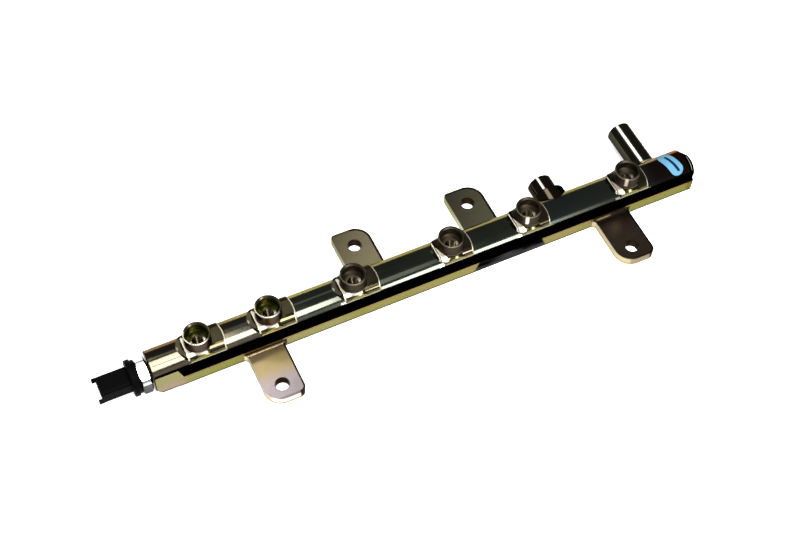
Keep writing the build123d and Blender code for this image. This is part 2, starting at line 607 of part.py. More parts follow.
# ---- throttle sleeves pressed into the outlet drillings ------------------------------------------------
for number, x in enumerate(OUTLET_X, start=1):
    with BuildPart() as outlet_throttle:
        with BuildSketch(upright_plane(x)):
            with BuildLine():
                Polyline(
                    (THROTTLE_RADIUS, OUTLET_THROTTLE_TOP_Z - THROTTLE_LEAD_IN),
                    (THROTTLE_RADIUS + THROTTLE_LEAD_IN, OUTLET_THROTTLE_TOP_Z),
                    (DRILLING_RADIUS, OUTLET_THROTTLE_TOP_Z),
                    (DRILLING_RADIUS, OUTLET_THROTTLE_TOP_Z - THROTTLE_LENGTH),
                    (THROTTLE_RADIUS, OUTLET_THROTTLE_TOP_Z - THROTTLE_LENGTH),
                    close=True,
                )
            make_face()
        revolve(axis=outlet_axis(x))
    outlet_throttle.part.label = f"outlet_throttle_{number}"
    export_step(outlet_throttle.part, f"parts/outlet_throttle_{number}.step")

with BuildPart() as inlet_throttle:
    with BuildSketch(port_plane(INLET_X)):
        with BuildLine():
            Polyline(
                (THROTTLE_RADIUS, INLET_THROTTLE_TOP_Y - THROTTLE_LEAD_IN),
                (THROTTLE_RADIUS + THROTTLE_LEAD_IN, INLET_THROTTLE_TOP_Y),
                (DRILLING_RADIUS, INLET_THROTTLE_TOP_Y),
                (DRILLING_RADIUS, INLET_THROTTLE_TOP_Y - THROTTLE_LENGTH),
                (THROTTLE_RADIUS, INLET_THROTTLE_TOP_Y - THROTTLE_LENGTH),
                close=True,
            )
        make_face()
    revolve(axis=port_axis(INLET_X))
inlet_throttle.part.label = "inlet_throttle"
export_step(inlet_throttle.part, "parts/inlet_throttle.step")

# ---- pressure limiting valve, from the seat outwards --------------------------------------------------
with BuildPart() as valve_seat:
    with BuildSketch(port_plane(VALVE_X)):
        with BuildLine():
            Polyline(
                (VALVE_SEAT_BORE_RADIUS, CHAMBER_FLOOR_Y),
                (CHAMBER_RADIUS, CHAMBER_FLOOR_Y),
                (CHAMBER_RADIUS, VALVE_SEAT_TOP_Y),
                (VALVE_SEAT_BORE_RADIUS + VALVE_SEAT_CONE_DEPTH, VALVE_SEAT_TOP_Y),
                (VALVE_SEAT_BORE_RADIUS, VALVE_SEAT_CONE_Y),
                close=True,
            )
        make_face()
    revolve(axis=port_axis(VALVE_X))
valve_seat.part.label = "valve_seat"
export_step(valve_seat.part, "parts/valve_seat.step")

with BuildPart() as valve_plunger:
    with BuildSketch(port_plane(VALVE_X)):
        with BuildLine():
            Polyline(
                (0, PLUNGER_TIP_Y),
                (PLUNGER_TIP_RADIUS, PLUNGER_TIP_Y),
                (PLUNGER_NECK_RADIUS, PLUNGER_NECK_Y),
                (PLUNGER_NECK_RADIUS, PLUNGER_GUIDE_Y),
                (PLUNGER_RADIUS, PLUNGER_GUIDE_Y),
                (PLUNGER_RADIUS, PLUNGER_TOP_Y),
                (PLUNGER_SPIGOT_RADIUS, PLUNGER_TOP_Y),
                (PLUNGER_SPIGOT_RADIUS, PLUNGER_TOP_Y + PLUNGER_SPIGOT_LENGTH),
                (0, PLUNGER_TOP_Y + PLUNGER_SPIGOT_LENGTH),
                close=True,
            )
        make_face()
    revolve(axis=port_axis(VALVE_X))
    # three flats let fuel past the guide
    with BuildSketch(Plane(origin=(VALVE_X, PLUNGER_TIP_Y, AXIS_Z), x_dir=(1, 0, 0), z_dir=(0, 1, 0))):
        RegularPolygon(PLUNGER_FLAT_DISTANCE, 3, major_radius=False)
    extrude(amount=PLUNGER_TOP_Y + PLUNGER_SPIGOT_LENGTH - PLUNGER_TIP_Y, mode=Mode.INTERSECT)
valve_plunger.part.label = "valve_plunger"
export_step(valve_plunger.part, "parts/valve_plunger.step")

with BuildPart() as valve_spring:
    spring_length = SHIM_INNER_Y - PLUNGER_TOP_Y
    with BuildLine() as coil:
        Helix(
            pitch=spring_length / SPRING_TURNS,
            height=spring_length,
            radius=SPRING_MEAN_RADIUS,
            center=(VALVE_X, PLUNGER_TOP_Y, AXIS_Z),
            direction=(0, 1, 0),
        )
    with BuildSketch(Plane(origin=coil.line @ 0, z_dir=coil.line % 0)):
        Circle(SPRING_WIRE_RADIUS)
    sweep(is_frenet=True)
    # ends ground flat against the plunger and the shim
    with Locations((VALVE_X, PLUNGER_TOP_Y, AXIS_Z)):
        Box(
            20,
            spring_length,
            20,
            align=(Align.CENTER, Align.MIN, Align.CENTER),
            mode=Mode.INTERSECT,
        )
valve_spring.part.label = "valve_spring"
export_step(valve_spring.part, "parts/valve_spring.step")

with BuildPart() as valve_shim:
    with BuildSketch(Plane(origin=(VALVE_X, SHIM_INNER_Y, AXIS_Z), x_dir=(1, 0, 0), z_dir=(0, 1, 0))):
        Circle(SHIM_RADIUS)
        Circle(SHIM_BORE_RADIUS, mode=Mode.SUBTRACT)
    extrude(amount=SHIM_THICKNESS)
valve_shim.part.label = "valve_shim"
export_step(valve_shim.part, "parts/valve_shim.step")

with BuildPart() as valve_retainer:
    retainer_radius = RETAINER_THREAD_RADIUS - THREAD_CLEARANCE
    with BuildSketch(port_plane(VALVE_X)):
        with BuildLine():
            Polyline(
                (RETAINER_BORE_RADIUS, RETAINER_INNER_Y),
                (retainer_radius - RETAINER_CHAMFER, RETAINER_INNER_Y),
                (retainer_radius, RETAINER_INNER_Y + RETAINER_CHAMFER),
                (retainer_radius, RETURN_SHOULDER_Y - RETAINER_CHAMFER),
                (retainer_radius - RETAINER_CHAMFER, RETURN_SHOULDER_Y),
                (RETAINER_BORE_RADIUS, RETURN_SHOULDER_Y),
                close=True,
            )
        make_face()
    revolve(axis=port_axis(VALVE_X))
    with BuildSketch(Plane(origin=(VALVE_X, RETURN_SHOULDER_Y, AXIS_Z), x_dir=(1, 0, 0), z_dir=(0, 1, 0))):
        RegularPolygon(RETAINER_SOCKET_AF / 2, 6, major_radius=False)
    extrude(amount=-RETAINER_SOCKET_DEPTH, mode=Mode.SUBTRACT)
valve_retainer.part.label = "valve_retainer"
export_step(valve_retainer.part, "parts/valve_retainer.step")

# ---- pressure sensor ------------------------------------------------------------------------------
with BuildPart() as sensor_washer:
    with BuildSketch(cross_plane(SENSOR_TIP_X)):
        Circle(SENSOR_WASHER_RADIUS)
        Circle(SENSOR_WASHER_BORE_RADIUS, mode=Mode.SUBTRACT)
    extrude(amount=SENSOR_WASHER_THICKNESS)
sensor_washer.part.label = "sensor_washer"
export_step(sensor_washer.part, "parts/sensor_washer.step")

with BuildPart() as sensor_body:
    # hexagon, its corners turned and chamfered
    hex_chamfer = (HEX_TURNED_RADIUS - HEX_FACE_RADIUS) * tan(radians(30))
    with BuildSketch(cross_plane(HEX_OUTER_X)):
        RegularPolygon(HEX_ACROSS_FLATS / 2, 6, major_radius=False, rotation=HEX_TILT)
    extrude(amount=HEX_LENGTH)
    with BuildSketch(turned_plane()):
        with BuildLine():
            Polyline(
                (HEX_OUTER_X, 0),
                (HEX_OUTER_X, HEX_FACE_RADIUS),
                (HEX_OUTER_X + hex_chamfer, HEX_TURNED_RADIUS),
                (HEX_INNER_X - hex_chamfer, HEX_TURNED_RADIUS),
                (HEX_INNER_X, HEX_FACE_RADIUS),
                (HEX_INNER_X, 0),
                close=True,
            )
        make_face()
    revolve(axis=BORE_AXIS, mode=Mode.INTERSECT)
    # threaded stem with an undercut beside the hexagon and a sealing nose
    stem_radius = SENSOR_THREAD_RADIUS - THREAD_CLEARANCE
    with BuildSketch(turned_plane()):
        with BuildLine():
            Polyline(
                (HEX_INNER_X - 1, 0),
                (HEX_INNER_X - 1, SENSOR_NOSE_RADIUS),
                (HEX_INNER_X + SENSOR_NECK_LENGTH, SENSOR_NOSE_RADIUS),
                (HEX_INNER_X + SENSOR_NECK_LENGTH + 0.6, stem_radius),
                (SENSOR_TIP_X - SENSOR_NOSE_LENGTH - 0.6, stem_radius),
                (SENSOR_TIP_X - SENSOR_NOSE_LENGTH, SENSOR_NOSE_RADIUS),
                (SENSOR_TIP_X, SENSOR_NOSE_RADIUS),
                (SENSOR_TIP_X, 0),
                close=True,
            )
        make_face()
    revolve(axis=BORE_AXIS)
    # spigot recess, board ledge, element cavity and the passage that brings the pressure in
    with BuildSketch(turned_plane()):
        with BuildLine():
            Polyline(
                (HEX_OUTER_X, 0),
                (HEX_OUTER_X, SPIGOT_RADIUS),
                (SPIGOT_END_X, SPIGOT_RADIUS),
                (SPIGOT_END_X, BOARD_LEDGE_RADIUS),
                (BOARD_SEAT_X, BOARD_LEDGE_RADIUS),
                (BOARD_SEAT_X, SENSOR_CAVITY_RADIUS),
                (SENSOR_FLOOR_X, SENSOR_CAVITY_RADIUS),
                (SENSOR_FLOOR_X, SENSOR_PASSAGE_RADIUS),
                (SENSOR_TIP_X, SENSOR_PASSAGE_RADIUS),
                (SENSOR_TIP_X, 0),
                close=True,
            )
        make_face()
    revolve(axis=BORE_AXIS, mode=Mode.SUBTRACT)
sensor_body.part.label = "sensor_body"
export_step(sensor_body.part, "parts/sensor_body.step")

with BuildPart() as sensor_element:
    with BuildSketch(turned_plane()):
        with BuildLine():
            Polyline(
                (SENSOR_FLOOR_X, SENSOR_PASSAGE_RADIUS),
                (SENSOR_FLOOR_X, ELEMENT_FLANGE_RADIUS),
                (SENSOR_FLOOR_X - ELEMENT_FLANGE_THICKNESS, ELEMENT_FLANGE_RADIUS),
                (SENSOR_FLOOR_X - ELEMENT_FLANGE_THICKNESS, ELEMENT_CUP_RADIUS),
                (SENSOR_FLOOR_X - ELEMENT_HEIGHT, ELEMENT_CUP_RADIUS),
                (SENSOR_FLOOR_X - ELEMENT_HEIGHT, 0),
                (SENSOR_FLOOR_X - ELEMENT_HEIGHT + DIAPHRAGM_THICKNESS, 0),
                (SENSOR_FLOOR_X - ELEMENT_HEIGHT + DIAPHRAGM_THICKNESS, SENSOR_PASSAGE_RADIUS),
                close=True,
            )
        make_face()
    revolve(axis=BORE_AXIS)
sensor_element.part.label = "sensor_element"
export_step(sensor_element.part, "parts/sensor_element.step")

with BuildPart() as sensor_board:
    with BuildSketch(cross_plane(SPIGOT_END_X)):
        Circle(BOARD_RADIUS)
    extrude(amount=BOARD_THICKNESS)
sensor_board.part.label = "sensor_board"
export_step(sensor_board.part, "parts/sensor_board.step")

with BuildPart() as sensor_ring:
    with BuildSketch(turned_plane()):
        with Locations((HEX_OUTER_X - RING_SECTION_RADIUS, RING_MEAN_RADIUS)):
            Circle(RING_SECTION_RADIUS)
    revolve(axis=BORE_AXIS)
sensor_ring.part.label = "sensor_ring"
export_step(sensor_ring.part, "parts/sensor_ring.step")

with BuildPart() as sensor_housing:
    # collar with a spigot, a neck beside the hexagon and a chamber behind the board
    with BuildSketch(turned_plane()) as collar:
        with BuildLine():
            Polyline(
                (COLLAR_CHAMBER_X, 0),
                (COLLAR_CHAMBER_X, COLLAR_CHAMBER_RADIUS),
                (SPIGOT_END_X, COLLAR_CHAMBER_RADIUS),
                (SPIGOT_END_X, SPIGOT_RADIUS),
                (HEX_OUTER_X, SPIGOT_RADIUS),
                (HEX_OUTER_X, COLLAR_NECK_RADIUS),
                (HEX_OUTER_X - COLLAR_NECK_LENGTH, COLLAR_NECK_RADIUS),
                (HEX_OUTER_X - COLLAR_NECK_LENGTH, COLLAR_RADIUS),
                (COLLAR_END_X, COLLAR_RADIUS),
                (COLLAR_END_X, 0),
                close=True,
            )
        make_face()
        fillet(collar.vertices().group_by(Axis.Y)[-1], COLLAR_ROUND)
    revolve(axis=BORE_AXIS)
    # connector shell, its latch and the keys that stand past the mouth
    with BuildSketch(cross_plane(COLLAR_END_X)):
        RectangleRounded(PLUG_WIDTH, PLUG_HEIGHT, PLUG_CORNER)
    extrude(amount=-PLUG_LENGTH)
    with BuildSketch(cross_plane(PLUG_MOUTH_X + LATCH_SETBACK)):
        with Locations((PLUG_WIDTH / 2 - 1, 0)):
            Rectangle(LATCH_HEIGHT + 1, LATCH_WIDTH, align=(Align.MIN, Align.CENTER))
    extrude(amount=LATCH_LENGTH)
    lip_y = PLUG_WIDTH / 2 - PLUG_WALL / 2
    lip_z = PLUG_HEIGHT / 2 - PLUG_CORNER - PLUG_LIP_HEIGHT / 2 + 1
    with BuildSketch(cross_plane(PLUG_MOUTH_X + 1)):
        with Locations((lip_y, lip_z), (-lip_y, -lip_z)):
            Rectangle(PLUG_WALL, PLUG_LIP_HEIGHT)
    extrude(amount=-PLUG_LIP_LENGTH - 1)
    # socket
    with BuildSketch(cross_plane(SOCKET_FLOOR_X)):
        RectangleRounded(
            PLUG_WIDTH - 2 * PLUG_WALL,
            PLUG_HEIGHT - 2 * PLUG_WALL,
            PLUG_CORNER - PLUG_WALL,
        )
    extrude(amount=-PLUG_SOCKET_DEPTH, mode=Mode.SUBTRACT)
    # groove for the sealing ring
    with BuildSketch(cross_plane(HEX_OUTER_X)):
        Circle(RING_MEAN_RADIUS + RING_GROOVE_WIDTH / 2)
        Circle(RING_MEAN_RADIUS - RING_GROOVE_WIDTH / 2, mode=Mode.SUBTRACT)
    extrude(amount=-2 * RING_SECTION_RADIUS, mode=Mode.SUBTRACT)
    # slots for the contacts
    with BuildSketch(cross_plane(COLLAR_CHAMBER_X)):
        with Locations(*[(y, 0) for y in PIN_Y]):
            Rectangle(PIN_WIDTH, PIN_THICKNESS)
    extrude(amount=SOCKET_FLOOR_X - COLLAR_CHAMBER_X, mode=Mode.SUBTRACT)
sensor_housing.part.label = "sensor_housing"
export_step(sensor_housing.part, "parts/sensor_housing.step")

for number, y in enumerate(PIN_Y, start=1):
    with BuildPart() as sensor_pin:
        with BuildSketch(cross_plane(SPIGOT_END_X)):
            with Locations((y, 0)):
                Rectangle(PIN_WIDTH, PIN_THICKNESS)
        extrude(amount=PIN_TIP_X - SPIGOT_END_X)
        chamfer(sensor_pin.faces().sort_by(Axis.X)[0].edges(), PIN_TIP_CHAMFER)
    sensor_pin.part.label = f"sensor_pin_{number}"
    export_step(sensor_pin.part, f"parts/sensor_pin_{number}.step")
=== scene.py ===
import json
import math

import bmesh
import bpy
from mathutils import Matrix, Vector


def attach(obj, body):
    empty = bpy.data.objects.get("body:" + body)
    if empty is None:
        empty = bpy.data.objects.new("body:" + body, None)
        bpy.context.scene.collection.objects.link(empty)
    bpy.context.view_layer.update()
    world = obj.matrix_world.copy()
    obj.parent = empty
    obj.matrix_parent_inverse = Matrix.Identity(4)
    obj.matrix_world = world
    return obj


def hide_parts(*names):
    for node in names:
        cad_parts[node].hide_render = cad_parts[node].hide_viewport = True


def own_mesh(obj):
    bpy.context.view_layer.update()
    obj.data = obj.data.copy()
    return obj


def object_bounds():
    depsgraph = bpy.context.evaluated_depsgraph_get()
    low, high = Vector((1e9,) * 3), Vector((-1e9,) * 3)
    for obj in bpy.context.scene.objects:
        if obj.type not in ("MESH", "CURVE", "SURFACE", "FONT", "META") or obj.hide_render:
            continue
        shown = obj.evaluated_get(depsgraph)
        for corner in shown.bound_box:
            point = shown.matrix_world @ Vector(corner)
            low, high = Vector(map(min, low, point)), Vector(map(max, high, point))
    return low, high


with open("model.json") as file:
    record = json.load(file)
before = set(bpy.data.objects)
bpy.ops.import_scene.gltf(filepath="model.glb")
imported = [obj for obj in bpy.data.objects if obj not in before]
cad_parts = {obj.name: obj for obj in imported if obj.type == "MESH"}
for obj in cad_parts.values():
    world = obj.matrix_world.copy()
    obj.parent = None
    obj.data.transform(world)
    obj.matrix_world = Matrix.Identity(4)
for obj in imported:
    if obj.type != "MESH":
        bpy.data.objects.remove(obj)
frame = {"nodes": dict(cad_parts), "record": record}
cad_box = [list(corner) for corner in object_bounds()]
nodes = frame["nodes"]
mounts = {mount["name"]: mount for mount in frame["record"]["mounts"]}
scene = bpy.context.scene


# ---- places and sizes of the rail, in millimetres ---------------------------------------------------
MM = 0.001


def place(mount, letter):
    """Where a mount lies along an axis, in millimetres."""
    return round(mounts[mount]["pos_m"]["xyz".index(letter)] / MM, 3)


OUTLET_X = [place(f"outlet_{i}", "x") for i in range(1, 7)]
INLET_X = place("inlet", "x")
VALVE_X = place("return_port", "x")
AXIS_Z = place("inlet", "z")
FRONT_TAB_X = mounts["front_feet"]["dims"]["spacing_x_mm"] / 2
BACK_TAB_X = mounts["back_feet"]["dims"]["spacing_x_mm"] / 2
TAB_X = (-FRONT_TAB_X, -BACK_TAB_X, BACK_TAB_X, FRONT_TAB_X)
FRONT_HOLE_Y = abs(place("front_feet", "y"))
BACK_HOLE_Y = place("back_feet", "y")
TAB_HOLE_RADIUS = mounts["front_feet"]["dims"]["hole_r_mm"]

RAIL_LEFT_X = -236.0
CONE_START_X = 222.0          # the cone turned on the closed end
# where the painted highlight line on the closed end starts
CONE_HIGHLIGHT_X = CONE_START_X + 3.0
CROWN_RADIUS = 15.8
FLANK_HALF_WIDTH = 12.3
FLANK_TOP_Z = 25.0
FOOT_HALF_WIDTH = 12.8
FOOT_HEIGHT = 11.2
BLOCK_HALF_WIDTH = 12.5
BLOCK_HEIGHT = 21.6
BLOCK_END_X = -217.5          # the end block slopes down to the foot from here
BLOCK_SLOPE_END_X = -214.0
UPPER_HALF_Z = 20.0           # the cups and the painted reflection on the crown's back edge are all above this
REAR_REFLECTION_TURN = 115.5         # that painted reflection on the back edge starts here, in degrees over the front horizon

TAB_THICKNESS = 8.0
TAB_ROOT_TOP_Z = 12.5         # the tabs' rounded roots end below this
# across from the hole, then out from the rail's axis: where the +X corner's round starts, and its radius
FRONT_CORNER = (9.8, 53.1, 5.5)
BACK_CORNER = (1.8, 46.9, 13.5)

PAD_HALF_WIDTH = 12.2
PAD_FRONT_SPAN = (-12.0, 17.5)  # outlet axis to the ends of the line along the pad's front
PAD_DRAFT_Z = 22.0            # the drafted ends are measured from here
PAD_DRAFT = round(math.tan(math.radians(12)), 4)
PAD_LEFT_CENTRE = -5.3        # outlet axis to the centre of the left end's arc
PAD_RIGHT_CENTRE_LONG = -8.3  # the same for the right end, outlets 1 to 3
PAD_RIGHT_CENTRE_SHORT = -11.7
PAD_RIGHT_RADIUS = 29.9
PAD_SLOPE_START = -10.9       # left of this the pad slopes down towards the sensor
GROUND_LINE_LONG = 10.95      # outlet axis to the painted highlight line on its left, outlets 1 to 3
GROUND_LINE_SHORT = 13.2      # the same, outlets 4 to 6
SLIM_FACING_START = 12.2      # outlet axis to the left edge of the painted highlight wedge beside outlets 4 to 6
WIDE_FACING_SPAN = (-10.6, 3.5)  # outlet axis to the ends of the painted highlight on the facing by outlets 1 to 3
SPOT_FACE_Z = 31.05
BOSS_RADIUS = 10.2
BOSS_TOP_Z = 42.0
CUP_MOUTH_RADIUS = 9.3
CUP_FLOOR_Z = 31.6
CUP_FLOOR_RADIUS = 6.0

INLET_RADIUS = 10.2
INLET_BASE_RADIUS = 14.3
INLET_BASE_Y = 19.3
VALVE_FOOT_RADIUS = 11.6
PORT_START_Y = 12.5           # the ports leave the rail's back here
SHORT_STREAK_START_Y = 21.8   # the short port's painted highlight streak runs from here to its tip

# stretches of the rail: outlets 1 and 2 end, outlets 4 to 6 start, and between the two ports
BROAD_END_X = -105.0
SHORT_START_X = -40.0
BETWEEN_PORTS_X = 150.0

# the dark worn patch on the front of the foot, at the foot's upper edge
WORN_LEFT_X = 31.0
WORN_RIGHT_X = 87.0


# ---- node helpers -----------------------------------------------------------------------------------
class Nodes:
    """Builds a material's node tree; every helper returns an output socket."""

    def __init__(self, name):
        self.material = bpy.data.materials.new(name)
        self.material.use_nodes = True
        self.tree = self.material.node_tree
        self.tree.nodes.clear()
        self.output = self.new("ShaderNodeOutputMaterial")
        self.shader = self.new("ShaderNodeBsdfPrincipled")
        self.tree.links.new(self.shader.outputs[0], self.output.inputs[0])
        self.point = self.new("ShaderNodeTexCoord").outputs["Object"]
        split = self.new("ShaderNodeSeparateXYZ")
        self.put(split.inputs[0], self.point)
        self.x, self.y, self.z = (self.math("MULTIPLY", metres, 1 / MM) for metres in split.outputs)

    def new(self, kind):
        return self.tree.nodes.new(kind)

    def put(self, socket, value):
        if isinstance(value, bpy.types.NodeSocket):
            self.tree.links.new(value, socket)
        elif isinstance(value, tuple) and len(value) == 3 and len(socket.default_value) == 4:
            socket.default_value = (*value, 1)
        else:
            socket.default_value = value

    def math(self, operation, a, b=0.0):
        node = self.new("ShaderNodeMath")
        node.operation = operation
        self.put(node.inputs[0], a)
        self.put(node.inputs[1], b)
        return node.outputs[0]

    def plus(self, a, b):
        return self.math("ADD", a, b)

    def minus(self, a, b):
        return self.math("SUBTRACT", a, b)

    def times(self, a, b):
        return self.math("MULTIPLY", a, b)

    def magnitude(self, value):
        return self.math("ABSOLUTE", value)

    # masks: 1 inside, 0 outside, with an edge that runs over soft on either side
    def above(self, value, edge, soft=0.1):
        node = self.new("ShaderNodeMapRange")
        node.interpolation_type = "SMOOTHSTEP"
        self.put(node.inputs["Value"], self.minus(value, edge))
        node.inputs["From Min"].default_value = -soft
        node.inputs["From Max"].default_value = soft
        return node.outputs["Result"]

    def below(self, value, edge, soft=0.1):
        return self.no(self.above(value, edge, soft))

    def between(self, value, low, high, soft=0.1):
        return self.both(self.above(value, low, soft), self.below(value, high, soft))

    def both(self, *masks):
        result = masks[0]
        for mask in masks[1:]:
            result = self.times(result, mask)
        return result

    def either(self, *masks):
        result = masks[0]
        for mask in masks[1:]:
            result = self.math("MAXIMUM", result, mask)
        return result

    def no(self, mask):
        return self.minus(1.0, mask)

    # values
    def mix(self, factor, a, b):
        """Colour a where factor is 0, and b where it is 1."""
        node = self.new("ShaderNodeMix")
        node.data_type = "RGBA"
        self.put(node.inputs[0], factor)
        self.put(node.inputs[6], a)
        self.put(node.inputs[7], b)
        return node.outputs[2]

    def mix_number(self, factor, a, b):
        node = self.new("ShaderNodeMix")
        self.put(node.inputs[0], factor)
        self.put(node.inputs[2], a)
        self.put(node.inputs[3], b)
        return node.outputs[0]

    def shade(self, colour, factor):
        node = self.new("ShaderNodeVectorMath")
        node.operation = "SCALE"
        self.put(node.inputs[0], colour)
        self.put(node.inputs["Scale"], factor)
        return node.outputs[0]

    def length(self, a, b):
        return self.math("SQRT", self.plus(self.times(a, a), self.times(b, b)))

    def nearest(self, value, places):
        """Signed distance from value to the nearest of some places."""
        best = self.minus(value, places[0])
        for place_x in places[1:]:
            other = self.minus(value, place_x)
            nearer = self.math("LESS_THAN", self.magnitude(other), self.magnitude(best))
            best = self.mix_number(nearer, best, other)
        return best

    def noise(self, scale, detail=3.0, rough=0.55, stretch=(1, 1, 1), shift=(0, 0, 0)):
        moved = self.new("ShaderNodeMapping")
        self.put(moved.inputs["Vector"], self.point)
        moved.inputs["Scale"].default_value = stretch
        moved.inputs["Location"].default_value = shift
        node = self.new("ShaderNodeTexNoise")
        self.put(node.inputs["Vector"], moved.outputs[0])
        node.inputs["Scale"].default_value = scale
        node.inputs["Detail"].default_value = detail
        node.inputs["Roughness"].default_value = rough
        return node.outputs["Fac"]

    def ramp(self, factor, *stops):
        node = self.new("ShaderNodeValToRGB")
        self.put(node.inputs[0], factor)
        elements = node.color_ramp.elements
        while len(elements) < len(stops):
            elements.new(0.5)
        for element, (position, colour) in zip(elements, stops):
            element.position = position
            element.color = (*colour, 1)
        return node.outputs[0]

    def scale(self, value, low, high, out_low, out_high):
        node = self.new("ShaderNodeMapRange")
        self.put(node.inputs["Value"], value)
        node.inputs["From Min"].default_value = low
        node.inputs["From Max"].default_value = high
        node.inputs["To Min"].default_value = out_low
        node.inputs["To Max"].default_value = out_high
        return node.outputs["Result"]

    def radius(self, centre, axis):
        """Distance from a line through centre along one axis, both in millimetres."""
        offsets = [
            self.minus(value, at)
            for letter, value, at in zip("xyz", (self.x, self.y, self.z), centre)
            if letter != axis
        ]
        return self.length(*offsets)

    def bump(self, height, distance, strength):
        node = self.new("ShaderNodeBump")
        node.inputs["Strength"].default_value = strength
        node.inputs["Distance"].default_value = distance
        self.put(node.inputs["Height"], height)
        return node.outputs[0]

    def finish(self, **values):
        """Sets the shader's inputs and returns the material."""
        for name, value in values.items():
            label = name.replace("_", " ").title().replace("Ior", "IOR")
            self.put(self.shader.inputs[label], value)
        return self.material


# ---- rail body --------------------------------------------------------------------------------------
class RailNodes(Nodes):
    """The rail body's tree, with its coordinates and a mask for each kind of face.

    A mask reaches a few tenths of a millimetre past the face that it picks, so that the edge is in it.
    """

    def __init__(self):
        super().__init__("rail_steel")
        self.side = self.magnitude(self.y)
        self.back = self.above(self.y, 0.0)
        self.front = self.no(self.back)
        # signed distance along the rail to the nearest outlet's axis, and distance round that axis
        self.dx = self.nearest(self.x, OUTLET_X)
        self.outlet_r = self.length(self.dx, self.y)
        # round the rail's axis, in degrees over the front horizon
        self.bore_r = self.radius((0, 0, AXIS_Z), "x")
        turn = self.math("ARCTAN2", self.minus(self.z, AXIS_Z), self.times(self.y, -1.0))
        self.angle = self.times(turn, math.degrees(1.0))
        self.inlet_r = self.radius((INLET_X, 0, AXIS_Z), "y")
        self.valve_r = self.radius((VALVE_X, 0, AXIS_Z), "y")
        self.broad = self.below(self.x, BROAD_END_X, 2.0)
        self.short = self.above(self.x, SHORT_START_X, 2.0)
        self.long_port = self.above(self.x, BETWEEN_PORTS_X)

        self.drift = self.noise(16.0, 3.0, 0.5)
        self.blotch = self.noise(40.0, 4.0, 0.6, shift=(3.1, 1.7, 0.4))
        self.cloud = self.noise(9.0, 2.0, 0.5, shift=(0.7, 2.2, 5.1))
        self.fine = self.noise(900.0, 2.0, 0.6)
        self.brushed = self.noise(700.0, 2.0, 0.6, stretch=(0.03, 1.0, 1.0))

        self.mask_bar()
        self.mask_pads()
        self.mask_ports()

    def mask_bar(self):
        block_low = self.below(self.z, BLOCK_HEIGHT + 0.2, 0.1)
        self.foot = self.both(
            self.between(self.side, FOOT_HALF_WIDTH - 0.18, FOOT_HALF_WIDTH + 0.15, 0.06),
            self.below(self.z, FOOT_HEIGHT + 0.15, 0.1),
        )
        self.block = self.both(
            self.below(self.x, BLOCK_SLOPE_END_X + 0.6),
            self.between(self.side, BLOCK_HALF_WIDTH - 0.10, BLOCK_HALF_WIDTH + 0.12, 0.05),
            block_low,
        )
        self.slope = self.both(
            self.between(self.x, BLOCK_END_X - 0.1, BLOCK_SLOPE_END_X + 0.4, 0.2),
            self.above(self.side, BLOCK_HALF_WIDTH - 0.10, 0.05),
            block_low,
        )
        self.tab = self.both(
            self.above(self.side, FOOT_HALF_WIDTH + 0.12, 0.06),
            self.below(self.z, TAB_ROOT_TOP_Z, 0.3),
        )
        self.flank = self.both(
            self.between(self.side, FLANK_HALF_WIDTH - 0.17, FLANK_HALF_WIDTH + 0.45, 0.04),
            self.between(self.z, FOOT_HEIGHT - 0.2, FLANK_TOP_Z, 0.18),
        )
        # painted shade on the rail's end beside the sensor
        self.sensor_end_shade = self.both(self.below(self.x, RAIL_LEFT_X + 0.85, 0.1), self.above(self.z, 4.0))
        self.cone = self.above(self.x, CONE_START_X - 0.2, 0.3)

    def mask_pads(self):
        self.proud = self.both(
            self.above(self.bore_r, CROWN_RADIUS + 0.13, 0.07),
            self.above(self.z, FLANK_TOP_Z - 0.3, 0.2),
            self.below(self.side, PAD_HALF_WIDTH + 0.2),
        )
        self.pad_side = self.both(self.proud, self.above(self.side, PAD_HALF_WIDTH - 0.2, 0.12))
        self.boss = self.both(
            self.above(self.z, SPOT_FACE_Z + 0.25, 0.3),
            self.below(self.outlet_r, BOSS_RADIUS + 0.5, 0.2),
        )
        self.cup = self.both(
            self.above(self.z, UPPER_HALF_Z),
            self.below(self.outlet_r, CUP_MOUTH_RADIUS + 0.3, 0.1),
            self.no(self.above(self.bore_r, BOSS_TOP_Z - AXIS_Z + 0.1, 0.05)),
        )
        self.floor_ring = self.both(
            self.below(self.outlet_r, CUP_FLOOR_RADIUS + 0.4),
            self.between(self.z, UPPER_HALF_Z, CUP_FLOOR_Z + 0.3, 0.1),
        )
        # painted reflection along the crown's back edge
        self.rear_rim_reflection = self.both(
            self.above(self.angle, REAR_REFLECTION_TURN, 2.0),
            self.above(self.z, UPPER_HALF_Z, 1.0),
            self.no(self.proud),
        )
        # distance from the pad's right end, which is bowed and drafted
        draft = self.times(self.minus(self.z, PAD_DRAFT_Z), PAD_DRAFT)
        right_centre = self.mix_number(self.short, PAD_RIGHT_CENTRE_LONG, PAD_RIGHT_CENTRE_SHORT)
        right_r = self.length(self.minus(self.dx, right_centre), self.y)
        from_right = self.minus(PAD_RIGHT_RADIUS, self.plus(right_r, draft))
        # painted highlight along the pad's right end
        self.end_highlight_line = self.both(self.proud, self.below(from_right, 0.75, 0.2), self.no(self.pad_side))
        # painted highlight on the ground line along the pad's left slope
        line_x = self.mix_number(self.short, GROUND_LINE_LONG, GROUND_LINE_SHORT)
        self.ground_edge_highlight = self.both(
            self.proud,
            self.below(self.dx, PAD_LEFT_CENTRE),
            self.below(self.magnitude(self.plus(self.dx, line_x)), 0.45, 0.2),
            self.above(self.z, FLANK_TOP_Z + 0.5),
            self.below(self.y, 7.5, 1.0),
        )
